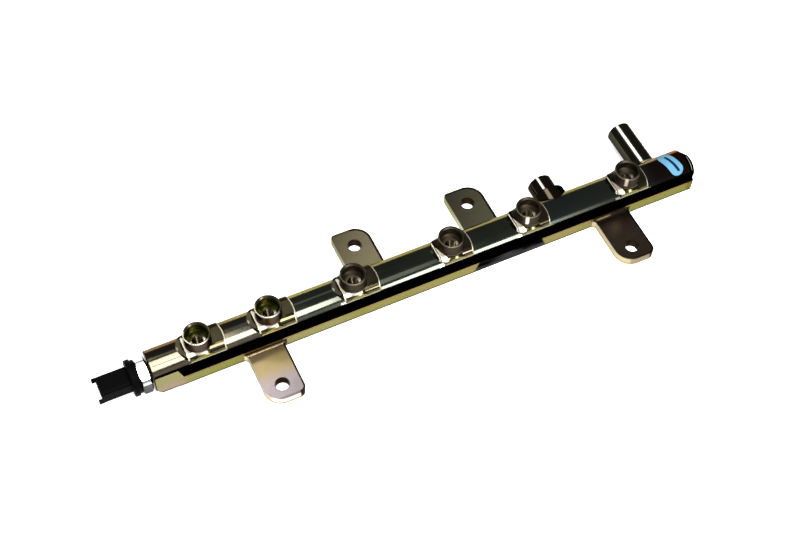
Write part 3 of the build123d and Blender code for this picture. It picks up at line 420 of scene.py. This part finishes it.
        # painted highlight along the flank's top edge in front of each pad
        self.front_highlight_line = self.both(
            self.either(self.pad_side, self.flank),
            self.below(self.y, 0.0),
            self.between(self.z, FLANK_TOP_Z - 0.15, FLANK_TOP_Z + 0.55, 0.12),
            self.between(self.dx, *PAD_FRONT_SPAN, 0.5),
        )
        # facing with a painted highlight; it also gets a matt finish
        self.facing_highlight = self.both(
            self.proud,
            self.above(self.outlet_r, BOSS_RADIUS + 0.25, 0.25),
            self.mix_number(self.short, self.mask_wide_facing_highlight(), self.mask_slim_facing_highlight()),
        )

    def mask_wide_facing_highlight(self):
        """Facing in front and to the left of a boss, painted pale as a highlight."""
        lean = self.plus(self.dx, self.times(self.y, 0.75))
        return self.both(
            self.between(self.dx, *WIDE_FACING_SPAN, 0.4),
            self.below(lean, -4.5, 0.8),
            self.above(self.z, 29.7, 0.5),
        )

    def mask_slim_facing_highlight(self):
        """Narrow wedge between the ground line and the boss, wider towards the front, painted pale as a
        highlight.
        """
        from_line = self.plus(self.dx, SLIM_FACING_START)
        width = self.times(self.minus(3.0, self.y), 0.40)
        return self.both(
            self.above(from_line, 0.0, 0.3),
            self.above(self.minus(width, from_line), 0.0, 0.3),
            self.above(self.z, 27.9, 0.5),
        )

    def mask_ports(self):
        short_port = self.no(self.long_port)
        port_tubes = self.either(
            self.below(self.inlet_r, INLET_BASE_RADIUS + 0.3),
            self.below(self.valve_r, VALVE_FOOT_RADIUS + 0.3),
        )
        collar_side = self.both(
            self.between(self.inlet_r, INLET_BASE_RADIUS - 0.5, INLET_BASE_RADIUS + 0.3),
            self.above(self.y, 5.0),
        )
        self.port = self.either(self.both(port_tubes, self.above(self.y, PORT_START_Y)), collar_side)
        self.collar = self.both(
            self.port,
            short_port,
            self.either(self.below(self.y, INLET_BASE_Y + 0.2), self.above(self.inlet_r, INLET_RADIUS + 0.3)),
        )
        # painted highlight streak along the upper side of each port, towards the sensor
        across = self.mix_number(self.long_port, self.minus(self.x, INLET_X), self.minus(self.x, VALVE_X))
        lean = self.math("ARCTAN2", across, self.minus(self.z, AXIS_Z))
        narrow = self.both(self.between(lean, -0.45, -0.27, 0.04), self.above(self.y, SHORT_STREAK_START_Y))
        wide = self.both(self.between(lean, -0.55, -0.16, 0.05), self.above(self.y, PORT_START_Y))
        self.port_highlight_streak = self.either(self.both(short_port, narrow), self.both(self.long_port, wide))


def crown_colour(n):
    """Black-green, browner towards the sensor end with painted shade over its top, black at the closed end
    with a painted highlight line where the cone starts.
    """
    green = n.ramp(
        n.drift,
        (0.35, (0.036, 0.040, 0.030)),
        (0.55, (0.044, 0.050, 0.038)),
        (0.70, (0.036, 0.044, 0.040)),
    )
    brown = n.ramp(n.blotch, (0.35, (0.090, 0.072, 0.045)), (0.6, (0.060, 0.052, 0.036)))
    # painted shade: the brown is darker over the top of the crown
    brown = n.shade(brown, n.scale(n.angle, 74.0, 94.0, 1.0, 0.5))
    # painted highlight: a pale line where the cone starts on the closed end
    cone_edge_highlight = n.both(
        n.between(n.x, CONE_HIGHLIGHT_X, CONE_HIGHLIGHT_X + 0.7, 0.2),
        n.between(n.angle, 35.0, 100.0, 8.0),
    )
    colour = n.mix(n.above(n.x, 185.0, 10.0), green, (0.020, 0.013, 0.010))
    colour = n.mix(n.cone, colour, (0.003, 0.003, 0.003))
    colour = n.mix(cone_edge_highlight, colour, (0.50, 0.48, 0.44))
    return n.mix(n.below(n.x, -150.0, 55.0), colour, brown)


def rear_rim_reflection_colour(n):
    """Painted reflection along the back edge of the crown: gold, brighter towards the edge, browner at the
    sensor end, orange at the closed end.
    """
    gold = n.ramp(
        n.cloud,
        (0.35, (0.19, 0.165, 0.045)),
        (0.50, (0.20, 0.155, 0.075)),
        (0.65, (0.21, 0.185, 0.055)),
    )
    # painted reflection: brighter towards the back edge
    gold = n.shade(gold, n.scale(n.angle, 112.0, 122.0, 2.4, 1.0))
    colour = n.mix(n.below(n.x, -170.0, 20.0), gold, (0.15, 0.095, 0.045))
    return n.mix(n.above(n.x, 213.0, 4.0), colour, (0.28, 0.09, 0.03))


def plated_colour(n):
    """Gold of the milled foot and end block, with a browner upper edge."""
    gold = n.ramp(
        n.cloud,
        (0.34, (0.150, 0.158, 0.036)),
        (0.46, (0.190, 0.160, 0.062)),
        (0.56, (0.152, 0.156, 0.040)),
        (0.70, (0.200, 0.180, 0.080)),
    )
    block_gold = n.mix(n.above(n.z, 9.0, 6.0), (0.235, 0.18, 0.125), (0.19, 0.175, 0.08))
    browner = n.both(n.above(n.z, 9.6, 1.2), n.above(n.cloud, 0.42, 0.06))
    return n.mix(n.below(n.x, -213.0, 3.0), n.mix(browner, gold, (0.17, 0.12, 0.048)), block_gold)


def tab_colour(n):
    """Each tab's tone, with random blotches and lighter or darker by tab and across its face as painted
    reflection; its pale edge, a painted reflection that is darker at the bottom as painted contact shade; and
    painted shade round its +X corner, in its root and in its hole.
    """
    left = n.below(n.x, -100.0)
    right = n.above(n.x, 100.0)
    tab_x = n.nearest(n.x, TAB_X)

    # painted reflection: each tab's top is lighter or darker by where it lies
    front_left = n.mix(n.below(n.y, -38.0, 8.0), (0.28, 0.215, 0.105), (0.265, 0.22, 0.225))
    both_back = n.mix(n.above(n.x, 0.0, 5.0), (0.180, 0.155, 0.088), (0.105, 0.098, 0.060))
    colour = n.mix(left, both_back, front_left)
    colour = n.mix(n.both(right, n.front), colour, (0.060, 0.043, 0.030))
    front_tone = n.scale(n.blotch, 0.3, 0.7, 0.90, 1.10)
    back_reflection_gradient = n.scale(n.plus(tab_x, n.times(n.side, -0.6)), -50.0, -8.0, 0.55, 1.45)
    colour = n.shade(colour, n.mix_number(n.back, front_tone, back_reflection_gradient))

    # painted reflection on the tabs' side faces, darker at the bottom as painted contact shade
    front_edge_reflection_and_shade = n.mix(left, (0.34, 0.30, 0.19), (0.46, 0.42, 0.28))
    front_edge_reflection_and_shade = n.mix(n.both(left, n.below(n.y, -54.0, 1.5)), front_edge_reflection_and_shade, (0.92, 0.87, 0.80))
    front_edge_reflection_and_shade = n.mix(n.below(n.z, 1.9, 0.6), front_edge_reflection_and_shade, (0.30, 0.21, 0.09))
    back_edge_reflection = n.mix(n.above(n.y, 34.0, 14.0), (0.50, 0.50, 0.36), (0.24, 0.23, 0.10))
    edge = n.both(n.tab, n.below(n.z, 7.0, 0.25))
    colour = n.mix(edge, colour, n.mix(n.back, front_edge_reflection_and_shade, back_edge_reflection))

    reach, far_y, bend = (n.mix_number(n.back, a, b) for a, b in zip(FRONT_CORNER, BACK_CORNER))
    corner_x = n.math("MAXIMUM", n.minus(tab_x, reach), 0.0)
    corner_y = n.math("MAXIMUM", n.minus(n.side, far_y), 0.0)
    from_edge = n.minus(bend, n.length(corner_x, corner_y))
    shaded_corner_edge = n.both(
        n.tab,
        n.below(from_edge, n.mix_number(n.back, 1.5, 1.9), 0.4),
        n.above(corner_x, 0.01),
        n.above(n.z, 1.5, 1.0),
    )
    hole_y = n.mix_number(n.back, FRONT_HOLE_Y, BACK_HOLE_Y)
    hole_r = n.length(tab_x, n.minus(n.side, hole_y))
    hole = n.both(n.tab, n.below(hole_r, TAB_HOLE_RADIUS + 0.2, 0.15))
    root = n.both(n.tab, n.above(n.z, TAB_THICKNESS + 0.12, 0.1))
    # painted shade round the +X corner, in the hole and in the root
    colour = n.mix(n.either(shaded_corner_edge, hole, root), colour, (0.016, 0.010, 0.007))
    root_glint = n.both(root, right, n.front, n.between(tab_x, -13.0, -1.0, 2.0))
    return n.mix(root_glint, colour, (0.12, 0.085, 0.045))


def pad_colour(n):
    """Dark olive, with painted shade where the top falls towards the sensor."""
    olive = n.ramp(
        n.blotch,
        (0.30, (0.040, 0.032, 0.020)),
        (0.48, (0.050, 0.043, 0.022)),
        (0.70, (0.048, 0.034, 0.026)),
    )
    # painted shade on the slope
    slope = n.mix(n.below(n.y, -4.0, 4.0), (0.008, 0.007, 0.0045), (0.007, 0.006, 0.004))
    return n.mix(n.below(n.dx, PAD_SLOPE_START, 0.2), olive, slope)


def wall_colour(n):
    """Outside of the bosses, with a painted highlight on the front-left of the rim and a painted highlight
    streak on the two nearest the closed end.
    """
    colour = n.mix(n.broad, (0.035, 0.028, 0.020), (0.055, 0.042, 0.033))
    # painted highlight on the front-left of the rim
    rim_highlight = n.both(n.above(n.z, BOSS_TOP_Z - 0.65, 0.1), n.below(n.plus(n.y, n.dx), -3.0, 3.0))
    colour = n.mix(rim_highlight, colour, n.mix(n.broad, (0.11, 0.092, 0.062), (0.50, 0.46, 0.34)))
    azimuth = n.math("ARCTAN2", n.y, n.dx)
    # painted highlight streak on the wall's front-left
    boss_streak_highlight = n.both(
        n.between(azimuth, -2.27, -2.02, 0.06),
        n.above(n.x, 60.0),
        n.between(n.z, 33.5, BOSS_TOP_Z - 0.2, 0.5),
    )
    return n.mix(boss_streak_highlight, colour, (0.75, 0.66, 0.55))


def cup_colour(n):
    colour = n.mix(n.broad, (0.062, 0.050, 0.030), (0.085, 0.090, 0.014))
    return n.mix(n.above(n.x, 150.0, 5.0), colour, (0.045, 0.038, 0.028))


def port_colour(n):
    """Dark, and paler along the streak as a painted highlight."""
    tone = n.mix(n.above(n.x, BETWEEN_PORTS_X, 5.0), (0.022, 0.017, 0.012), (0.030, 0.026, 0.018))
    return n.mix(n.port_highlight_streak, tone, (0.13, 0.125, 0.11))


def worn_patch(n):
    """Mask and colour of the dark worn patch on the front of the foot."""
    down = n.minus(FOOT_HEIGHT, n.z)
    left_edge = n.plus(n.x, n.times(down, 0.35))
    right_edge = n.minus(n.x, n.times(down, 0.4))
    from_left = n.above(left_edge, WORN_LEFT_X, 1.0)
    to_right = n.below(right_edge, WORN_RIGHT_X, 0.8)
    mask = n.both(n.foot, n.front, from_left, to_right)
    smear = n.noise(30.0, 3.0, 0.6, stretch=(0.5, 1.0, 3.5))
    return mask, n.ramp(smear, (0.50, (0.004, 0.0035, 0.0035)), (0.66, (0.038, 0.038, 0.038)))


def rail_colour(n):
    """Every layer is a mask and the colour that it lays over those before it."""
    # painted highlight colour of the facings
    facing_highlight_colour = n.mix(n.below(n.x, BROAD_END_X, 2.0), (0.56, 0.51, 0.42), (0.46, 0.42, 0.33))
    band = n.ramp(n.blotch, (0.35, (0.12, 0.115, 0.035)), (0.65, (0.17, 0.155, 0.06)))
    # painted highlight colour along the pads' right ends
    end_highlight_colour = n.mix(n.broad, (0.30, 0.27, 0.20), (0.42, 0.38, 0.27))
    # painted highlight: the cup's seat ring is pale on its front half
    seat_highlight_colour = n.mix(n.below(n.y, 0.5, 1.5), (0.10, 0.085, 0.06), (0.50, 0.46, 0.38))
    corner_glint = n.both(
        n.no(n.proud),
        n.no(n.broad),
        n.between(n.dx, -15.0, -11.0, 0.5),
        n.between(n.angle, 37.5, 45.0, 1.2),
    )
    milled = n.either(n.foot, n.block, n.slope)
    # painted contact shadow along the bottom edge of the foot and end block
    foot_contact_shade = n.both(n.either(n.foot, n.block), n.below(n.z, 1.5, 0.3))
    # painted dark line between the reflections near the sensor end
    dark_reflection_line = n.both(n.between(n.angle, 66.4, 68.0, 0.25), n.between(n.x, -234.0, -212.0, 1.0))
    layers = (
        (n.rear_rim_reflection, rear_rim_reflection_colour(n)),
        (n.proud, pad_colour(n)),
        (n.pad_side, band),
        (n.facing_highlight, facing_highlight_colour),
        (corner_glint, (0.60, 0.55, 0.46)),
        (n.end_highlight_line, end_highlight_colour),
        (n.ground_edge_highlight, (0.55, 0.49, 0.36)),
        (n.boss, wall_colour(n)),
        (n.cup, cup_colour(n)),
        (n.floor_ring, seat_highlight_colour),
        (n.flank, (0.0035, 0.0028, 0.0030)),
        (n.front_highlight_line, (0.42, 0.38, 0.28)),
        (n.port, port_colour(n)),
        (n.both(n.tab, n.no(n.port)), tab_colour(n)),
        (milled, plated_colour(n)),
        (foot_contact_shade, (0.020, 0.010, 0.008)),
        worn_patch(n),
        (n.sensor_end_shade, (0.02, 0.018, 0.014)),
        (dark_reflection_line, (0.004, 0.003, 0.002)),
    )
    colour = crown_colour(n)
    for mask, tone in layers:
        colour = n.mix(mask, colour, tone)
    return colour


def rail_roughness(n):
    """Polished crown and ports, brushed plating, matt ground faces."""
    rough = n.scale(n.plus(n.drift, n.times(n.fine, 0.3)), 0.5, 0.9, 0.11, 0.17)
    layers = (
        (n.either(n.foot, n.block, n.slope, n.tab, n.pad_side), n.scale(n.brushed, 0.3, 0.7, 0.28, 0.33)),
        (n.either(n.facing_highlight, n.ground_edge_highlight, n.end_highlight_line), n.scale(n.fine, 0.3, 0.7, 0.44, 0.50)),
        (n.boss, n.mix_number(n.broad, 0.42, 0.26)),
        (n.flank, n.scale(n.fine, 0.3, 0.7, 0.16, 0.22)),
        (n.port, 0.09),
    )
    for mask, value in layers:
        rough = n.mix_number(mask, rough, value)
    return rough


def rail_material():
    n = RailNodes()
    # the broad pads' left slopes and the short port's collar hardly shine
    matt = n.either(n.both(n.proud, n.below(n.dx, PAD_SLOPE_START, 0.2), n.broad), n.collar)
    tint = n.mix(matt, (0.45, 0.45, 0.45), (0.12, 0.11, 0.08))
    return n.finish(
        base_color=rail_colour(n),
        metallic=1.0,
        specular_tint=n.mix(n.cone, tint, (0.03, 0.03, 0.03)),
        roughness=rail_roughness(n),
        normal=n.bump(n.plus(n.fine, n.times(n.blotch, 2.0)), 0.000008, 0.35),
    )


# ---- other materials --------------------------------------------------------------------------------
def steel(name, colour, rough):
    """Machined metal with a faint grain."""
    n = Nodes(name)
    fine = n.noise(1500.0, 2.0)
    dark = tuple(c * 0.82 for c in colour)
    return n.finish(
        base_color=n.ramp(n.noise(120.0, 3.0), (0.3, dark), (0.7, colour)),
        metallic=1.0,
        roughness=n.scale(fine, 0.3, 0.7, rough * 0.7, rough * 1.3),
        normal=n.bump(fine, 0.00001, 0.1),
    )


def hexagon_material():
    """Bright plated hexagon, with painted shade on its lower face and along its edge by the rail."""
    n = Nodes("sensor_steel")
    fine = n.noise(1500.0, 2.0)
    bright = n.ramp(n.noise(120.0, 3.0), (0.3, (0.66, 0.66, 0.64)), (0.7, (0.80, 0.80, 0.78)))
    shaded_lower_face = n.ramp(n.noise(70.0, 4.0, 0.6), (0.35, (0.030, 0.031, 0.029)), (0.65, (0.085, 0.085, 0.080)))
    # the bright faces turn down to the lower one, in painted shade, at this height
    colour = n.mix(n.below(n.z, 20.4, 0.5), bright, shaded_lower_face)
    # painted shade along the hexagon's edge by the rail
    colour = n.mix(n.above(n.x, RAIL_LEFT_X - 1.9, 0.1), colour, (0.02, 0.02, 0.018))
    return n.finish(
        base_color=colour,
        metallic=1.0,
        specular_tint=(0.6, 0.6, 0.6),
        roughness=n.scale(fine, 0.3, 0.7, 0.14, 0.24),
        normal=n.bump(fine, 0.00001, 0.1),
    )


def plastic(name, colour, rough, shine=0.4):
    """Grained plastic, rubber or paint."""
    n = Nodes(name)
    fine = n.noise(2500.0, 2.0)
    light = tuple(c * 1.35 for c in colour)
    return n.finish(
        base_color=n.ramp(n.noise(60.0, 3.0), (0.3, colour), (0.75, light)),
        roughness=n.scale(fine, 0.3, 0.7, rough * 0.85, rough * 1.15),
        specular_ior_level=shine,
        normal=n.bump(fine, 0.00004, 0.3),
    )


def dress(material, *names):
    """Gives some CAD nodes a material."""
    for name in names:
        slots = nodes[name].material_slots
        if not slots:
            nodes[name].data.materials.append(material)
        for slot in slots:
            slot.material = material


throttles = [f"outlet_throttle_{i}" for i in range(1, 7)]
pins = [f"sensor_pin_{i}" for i in range(1, 4)]
valve_pieces = [f"valve_{part}" for part in ("seat", "plunger", "shim", "retainer")]
spring_steel = steel("spring_steel", (0.3, 0.29, 0.28), 0.35)
dress(rail_material(), "rail_body")
dress(steel("throttle_steel", (0.62, 0.60, 0.55), 0.22), "inlet_throttle", *throttles)
dress(hexagon_material(), "sensor_body", "sensor_element")
dress(steel("valve_steel", (0.5, 0.5, 0.48), 0.3), *valve_pieces)
dress(spring_steel, "valve_spring")
dress(steel("washer_copper", (0.72, 0.36, 0.22), 0.3), "sensor_washer")
dress(steel("contact_metal", (0.72, 0.70, 0.62), 0.25), *pins)
dress(plastic("connector_plastic", (0.0012, 0.0012, 0.0013), 0.45, shine=0.012), "sensor_housing")
dress(plastic("seal_rubber", (0.012, 0.012, 0.012), 0.6), "sensor_ring")
dress(plastic("board_laminate", (0.02, 0.12, 0.05), 0.4), "sensor_board")


# ---- valve spring -----------------------------------------------------------------------------------
def shortening_spring():
    """A copy of the valve's spring with its own mesh, in spring steel, on the rail in place of the CAD
    spring.
    """
    coil = bpy.data.objects.new("pressure_spring", nodes["valve_spring"].data.copy())
    scene.collection.objects.link(coil)
    coil.data.materials.clear()
    coil.data.materials.append(spring_steel)
    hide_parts("valve_spring")
    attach(coil, "rail")
    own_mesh(coil)


shortening_spring()


# ---- paint mark on the crown ------------------------------------------------------------------------
# places on the crown are (x in millimetres, degrees over the front horizon)
PAINT_RINGS = (1.0, 0.86, 0.7, 0.55, 0.4, 0.25, 0.1)
PAINT_SWELL = 0.03            # the paint is this much thicker inside its edge
MM_PER_DEGREE = round(CROWN_RADIUS * math.radians(1), 4)
ROUND_STEPS = 14              # of each round end
SIDE_STEPS = 12               # of each straight side


def crown_patch(name, outline, material, gap):
    """A skin of paint over the crown, inside an outline of places on it."""
    centre_x, centre_turn = (sum(values) / len(outline) for values in zip(*outline))
    mesh = bmesh.new()
    rings = []
    for share in PAINT_RINGS:
        lift = CROWN_RADIUS + gap + PAINT_SWELL * min(1.0, (1.0 - share) * 8.0)
        ring = []
        for x, degrees in outline:
            x = centre_x + (x - centre_x) * share
            turn = math.radians(centre_turn + (degrees - centre_turn) * share)
            point = Vector((x, -lift * math.cos(turn), AXIS_Z + lift * math.sin(turn)))
            ring.append(mesh.verts.new(point * MM))
        rings.append(ring)
    for outer, inner in zip(rings, rings[1:]):
        for i in range(len(outer)):
            j = (i + 1) % len(outer)
            mesh.faces.new((outer[i], outer[j], inner[j], inner[i]))
    mesh.faces.new(rings[-1])
    bmesh.ops.recalc_face_normals(mesh, faces=mesh.faces)
    data = bpy.data.meshes.new(name)
    mesh.to_mesh(data)
    mesh.free()
    for face in data.polygons:
        face.use_smooth = True
    data.materials.append(material)
    item = bpy.data.objects.new(name, data)
    scene.collection.objects.link(item)
    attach(item, "rail")


def rounded_bar(start, end, half_width):
    """Outline of a bar with round ends between two places on the crown."""
    ends = [(x, degrees * MM_PER_DEGREE) for x, degrees in (start, end)]
    along = math.atan2(ends[1][1] - ends[0][1], ends[1][0] - ends[0][0])
    outline = []
    for (cx, cy), (other_x, other_y), first in (
        (ends[0], ends[1], along + math.pi / 2),
        (ends[1], ends[0], along - math.pi / 2),
    ):
        for i in range(ROUND_STEPS + 1):
            turn = first + math.pi * i / ROUND_STEPS
            x = cx + half_width * math.cos(turn)
            y = cy + half_width * math.sin(turn)
            outline.append((x, y / MM_PER_DEGREE))
        # the straight side to the other end follows the crown in short steps
        for i in range(1, SIDE_STEPS):
            share = i / SIDE_STEPS
            outline.append((x + (other_x - cx) * share, (y + (other_y - cy) * share) / MM_PER_DEGREE))
    return outline


blue_paint = plastic("blue_paint", (0.072, 0.185, 0.275), 0.6, shine=0.1)
navy_paint = plastic("navy_paint", (0.002, 0.010, 0.035), 0.6, shine=0.05)
crown_patch("paint_mark", rounded_bar((207.2, 108.0), (211.0, 63.0), 5.9), blue_paint, 0.02)
crown_patch("paint_stroke", rounded_bar((207.9, 110.0), (212.3, 57.0), 1.2), navy_paint, 0.07)


# ---- camera -----------------------------------------------------------------------------------------
CAMERA_PLACE = (-0.31283, -0.54010, 0.93100)
CAMERA_RIGHT = (0.90295, -0.42906, 0.02414)
CAMERA_BACK = (-0.25583, -0.49154, 0.83243)
CAMERA_LENS = 64.09           # focal length and sensor width, in millimetres
CAMERA_SENSOR = 36.0

right = Vector(CAMERA_RIGHT).normalized()
back = Vector(CAMERA_BACK).normalized()
up = back.cross(right)
camera = bpy.data.objects.new("camera", bpy.data.cameras.new("camera"))
scene.collection.objects.link(camera)
camera.data.lens = CAMERA_LENS
camera.data.sensor_width = CAMERA_SENSOR
camera.data.clip_start = 0.01
camera.matrix_world = Matrix.Translation(CAMERA_PLACE) @ Matrix((right, up, back)).transposed().to_4x4()
scene.camera = camera


# ---- floor and world --------------------------------------------------------------------------------
FLOOR_HALF = 6.0
FLOOR_GAP = 0.0002
FLOOR_SHADE = 0.8
FLOOR_GLOW = 0.72
WORLD_LEVEL = 0.32
WORLD_COLOUR = (0.95, 0.97, 1.0, 1)


def floor_material():
    """Matt white that takes shadows, and that also glows for the camera and for shiny faces."""
    material = bpy.data.materials.new("floor")
    material.use_nodes = True
    tree = material.node_tree
    tree.nodes.clear()
    output = tree.nodes.new("ShaderNodeOutputMaterial")
    path = tree.nodes.new("ShaderNodeLightPath")
    matt = tree.nodes.new("ShaderNodeBsdfDiffuse")
    matt.inputs[0].default_value = (FLOOR_SHADE, FLOOR_SHADE, FLOOR_SHADE, 1)
    glow = tree.nodes.new("ShaderNodeEmission")
    glow.inputs[0].default_value = (1, 1, 1, 1)
    seen = tree.nodes.new("ShaderNodeMath")
    seen.operation = "MAXIMUM"
    tree.links.new(path.outputs["Is Camera Ray"], seen.inputs[0])
    tree.links.new(path.outputs["Is Glossy Ray"], seen.inputs[1])
    level = tree.nodes.new("ShaderNodeMath")
    level.operation = "MULTIPLY"
    tree.links.new(seen.outputs[0], level.inputs[0])
    level.inputs[1].default_value = FLOOR_GLOW
    tree.links.new(level.outputs[0], glow.inputs[1])
    total = tree.nodes.new("ShaderNodeAddShader")
    tree.links.new(matt.outputs[0], total.inputs[0])
    tree.links.new(glow.outputs[0], total.inputs[1])
    tree.links.new(total.outputs[0], output.inputs[0])
    return material


floor_corners = [(x * FLOOR_HALF, y * FLOOR_HALF, 0) for x, y in ((-1, -1), (1, -1), (1, 1), (-1, 1))]
floor_mesh = bpy.data.meshes.new("floor")
floor_mesh.from_pydata(floor_corners, [], [(0, 1, 2, 3)])
floor_mesh.materials.append(floor_material())
floor = bpy.data.objects.new("floor", floor_mesh)
floor.location.z = cad_box[0][2] - FLOOR_GAP
scene.collection.objects.link(floor)

world = bpy.data.worlds.new("studio")
world.use_nodes = True
background = world.node_tree.nodes["Background"]
background.inputs["Color"].default_value = WORLD_COLOUR
background.inputs["Strength"].default_value = WORLD_LEVEL
scene.world = world


# ---- lamps ------------------------------------------------------------------------------------------
LAMP_DISTANCE = 1.06          # metres from the rail's axis
FAR_LAMP_PLACE = (-1.112, 3.922, 6.909)
FAR_LAMP_FACING = (0.163, -0.486, -0.861)


def area_lamp(name, at, facing_highlight, width, height, radiance):
    lamp = bpy.data.lights.new(name, "AREA")
    lamp.shape = "RECTANGLE"
    lamp.size = width
    lamp.size_y = height
    lamp.energy = radiance * math.pi * width * height
    item = bpy.data.objects.new(name, lamp)
    item.location = at
    item.rotation_euler = Vector(facing_highlight).to_track_quat("-Z", "Y").to_euler()
    scene.collection.objects.link(item)


def panel(name, x_from, x_to, low, high, radiance):
    """A soft lamp that faces the rail's axis, between two angles in degrees over the front horizon."""
    middle = math.radians((low + high) / 2)
    height = 2 * LAMP_DISTANCE * math.tan(math.radians((high - low) / 2))
    y = -LAMP_DISTANCE * math.cos(middle)
    z = AXIS_Z * MM + LAMP_DISTANCE * math.sin(middle)
    facing_highlight = (0, math.cos(middle), -math.sin(middle))
    area_lamp(name, ((x_from + x_to) / 2, y, z), facing_highlight, x_to - x_from, height, radiance)


panel("band_left", -0.20, -0.07, 50, 104, 26.0)
panel("band_middle", -0.07, 0.135, 47, 73, 32.0)
panel("band_right", 0.135, 0.30, 50, 72, 2.4)
panel("line", 0.19, 0.45, 22, 36, 36.0)
panel("line_end", 0.45, 0.57, 23, 35, 3.5)
panel("front", -0.62, 0.18, 24, 38, 1.2)
# far off, so that it shows only as a line along the two ports
area_lamp("ports", FAR_LAMP_PLACE, FAR_LAMP_FACING, 2.7, 1.3, 13.0)
panel("back_top", -0.28, 0.18, 112, 124, 1.1)

scene.view_settings.view_transform = "Standard"
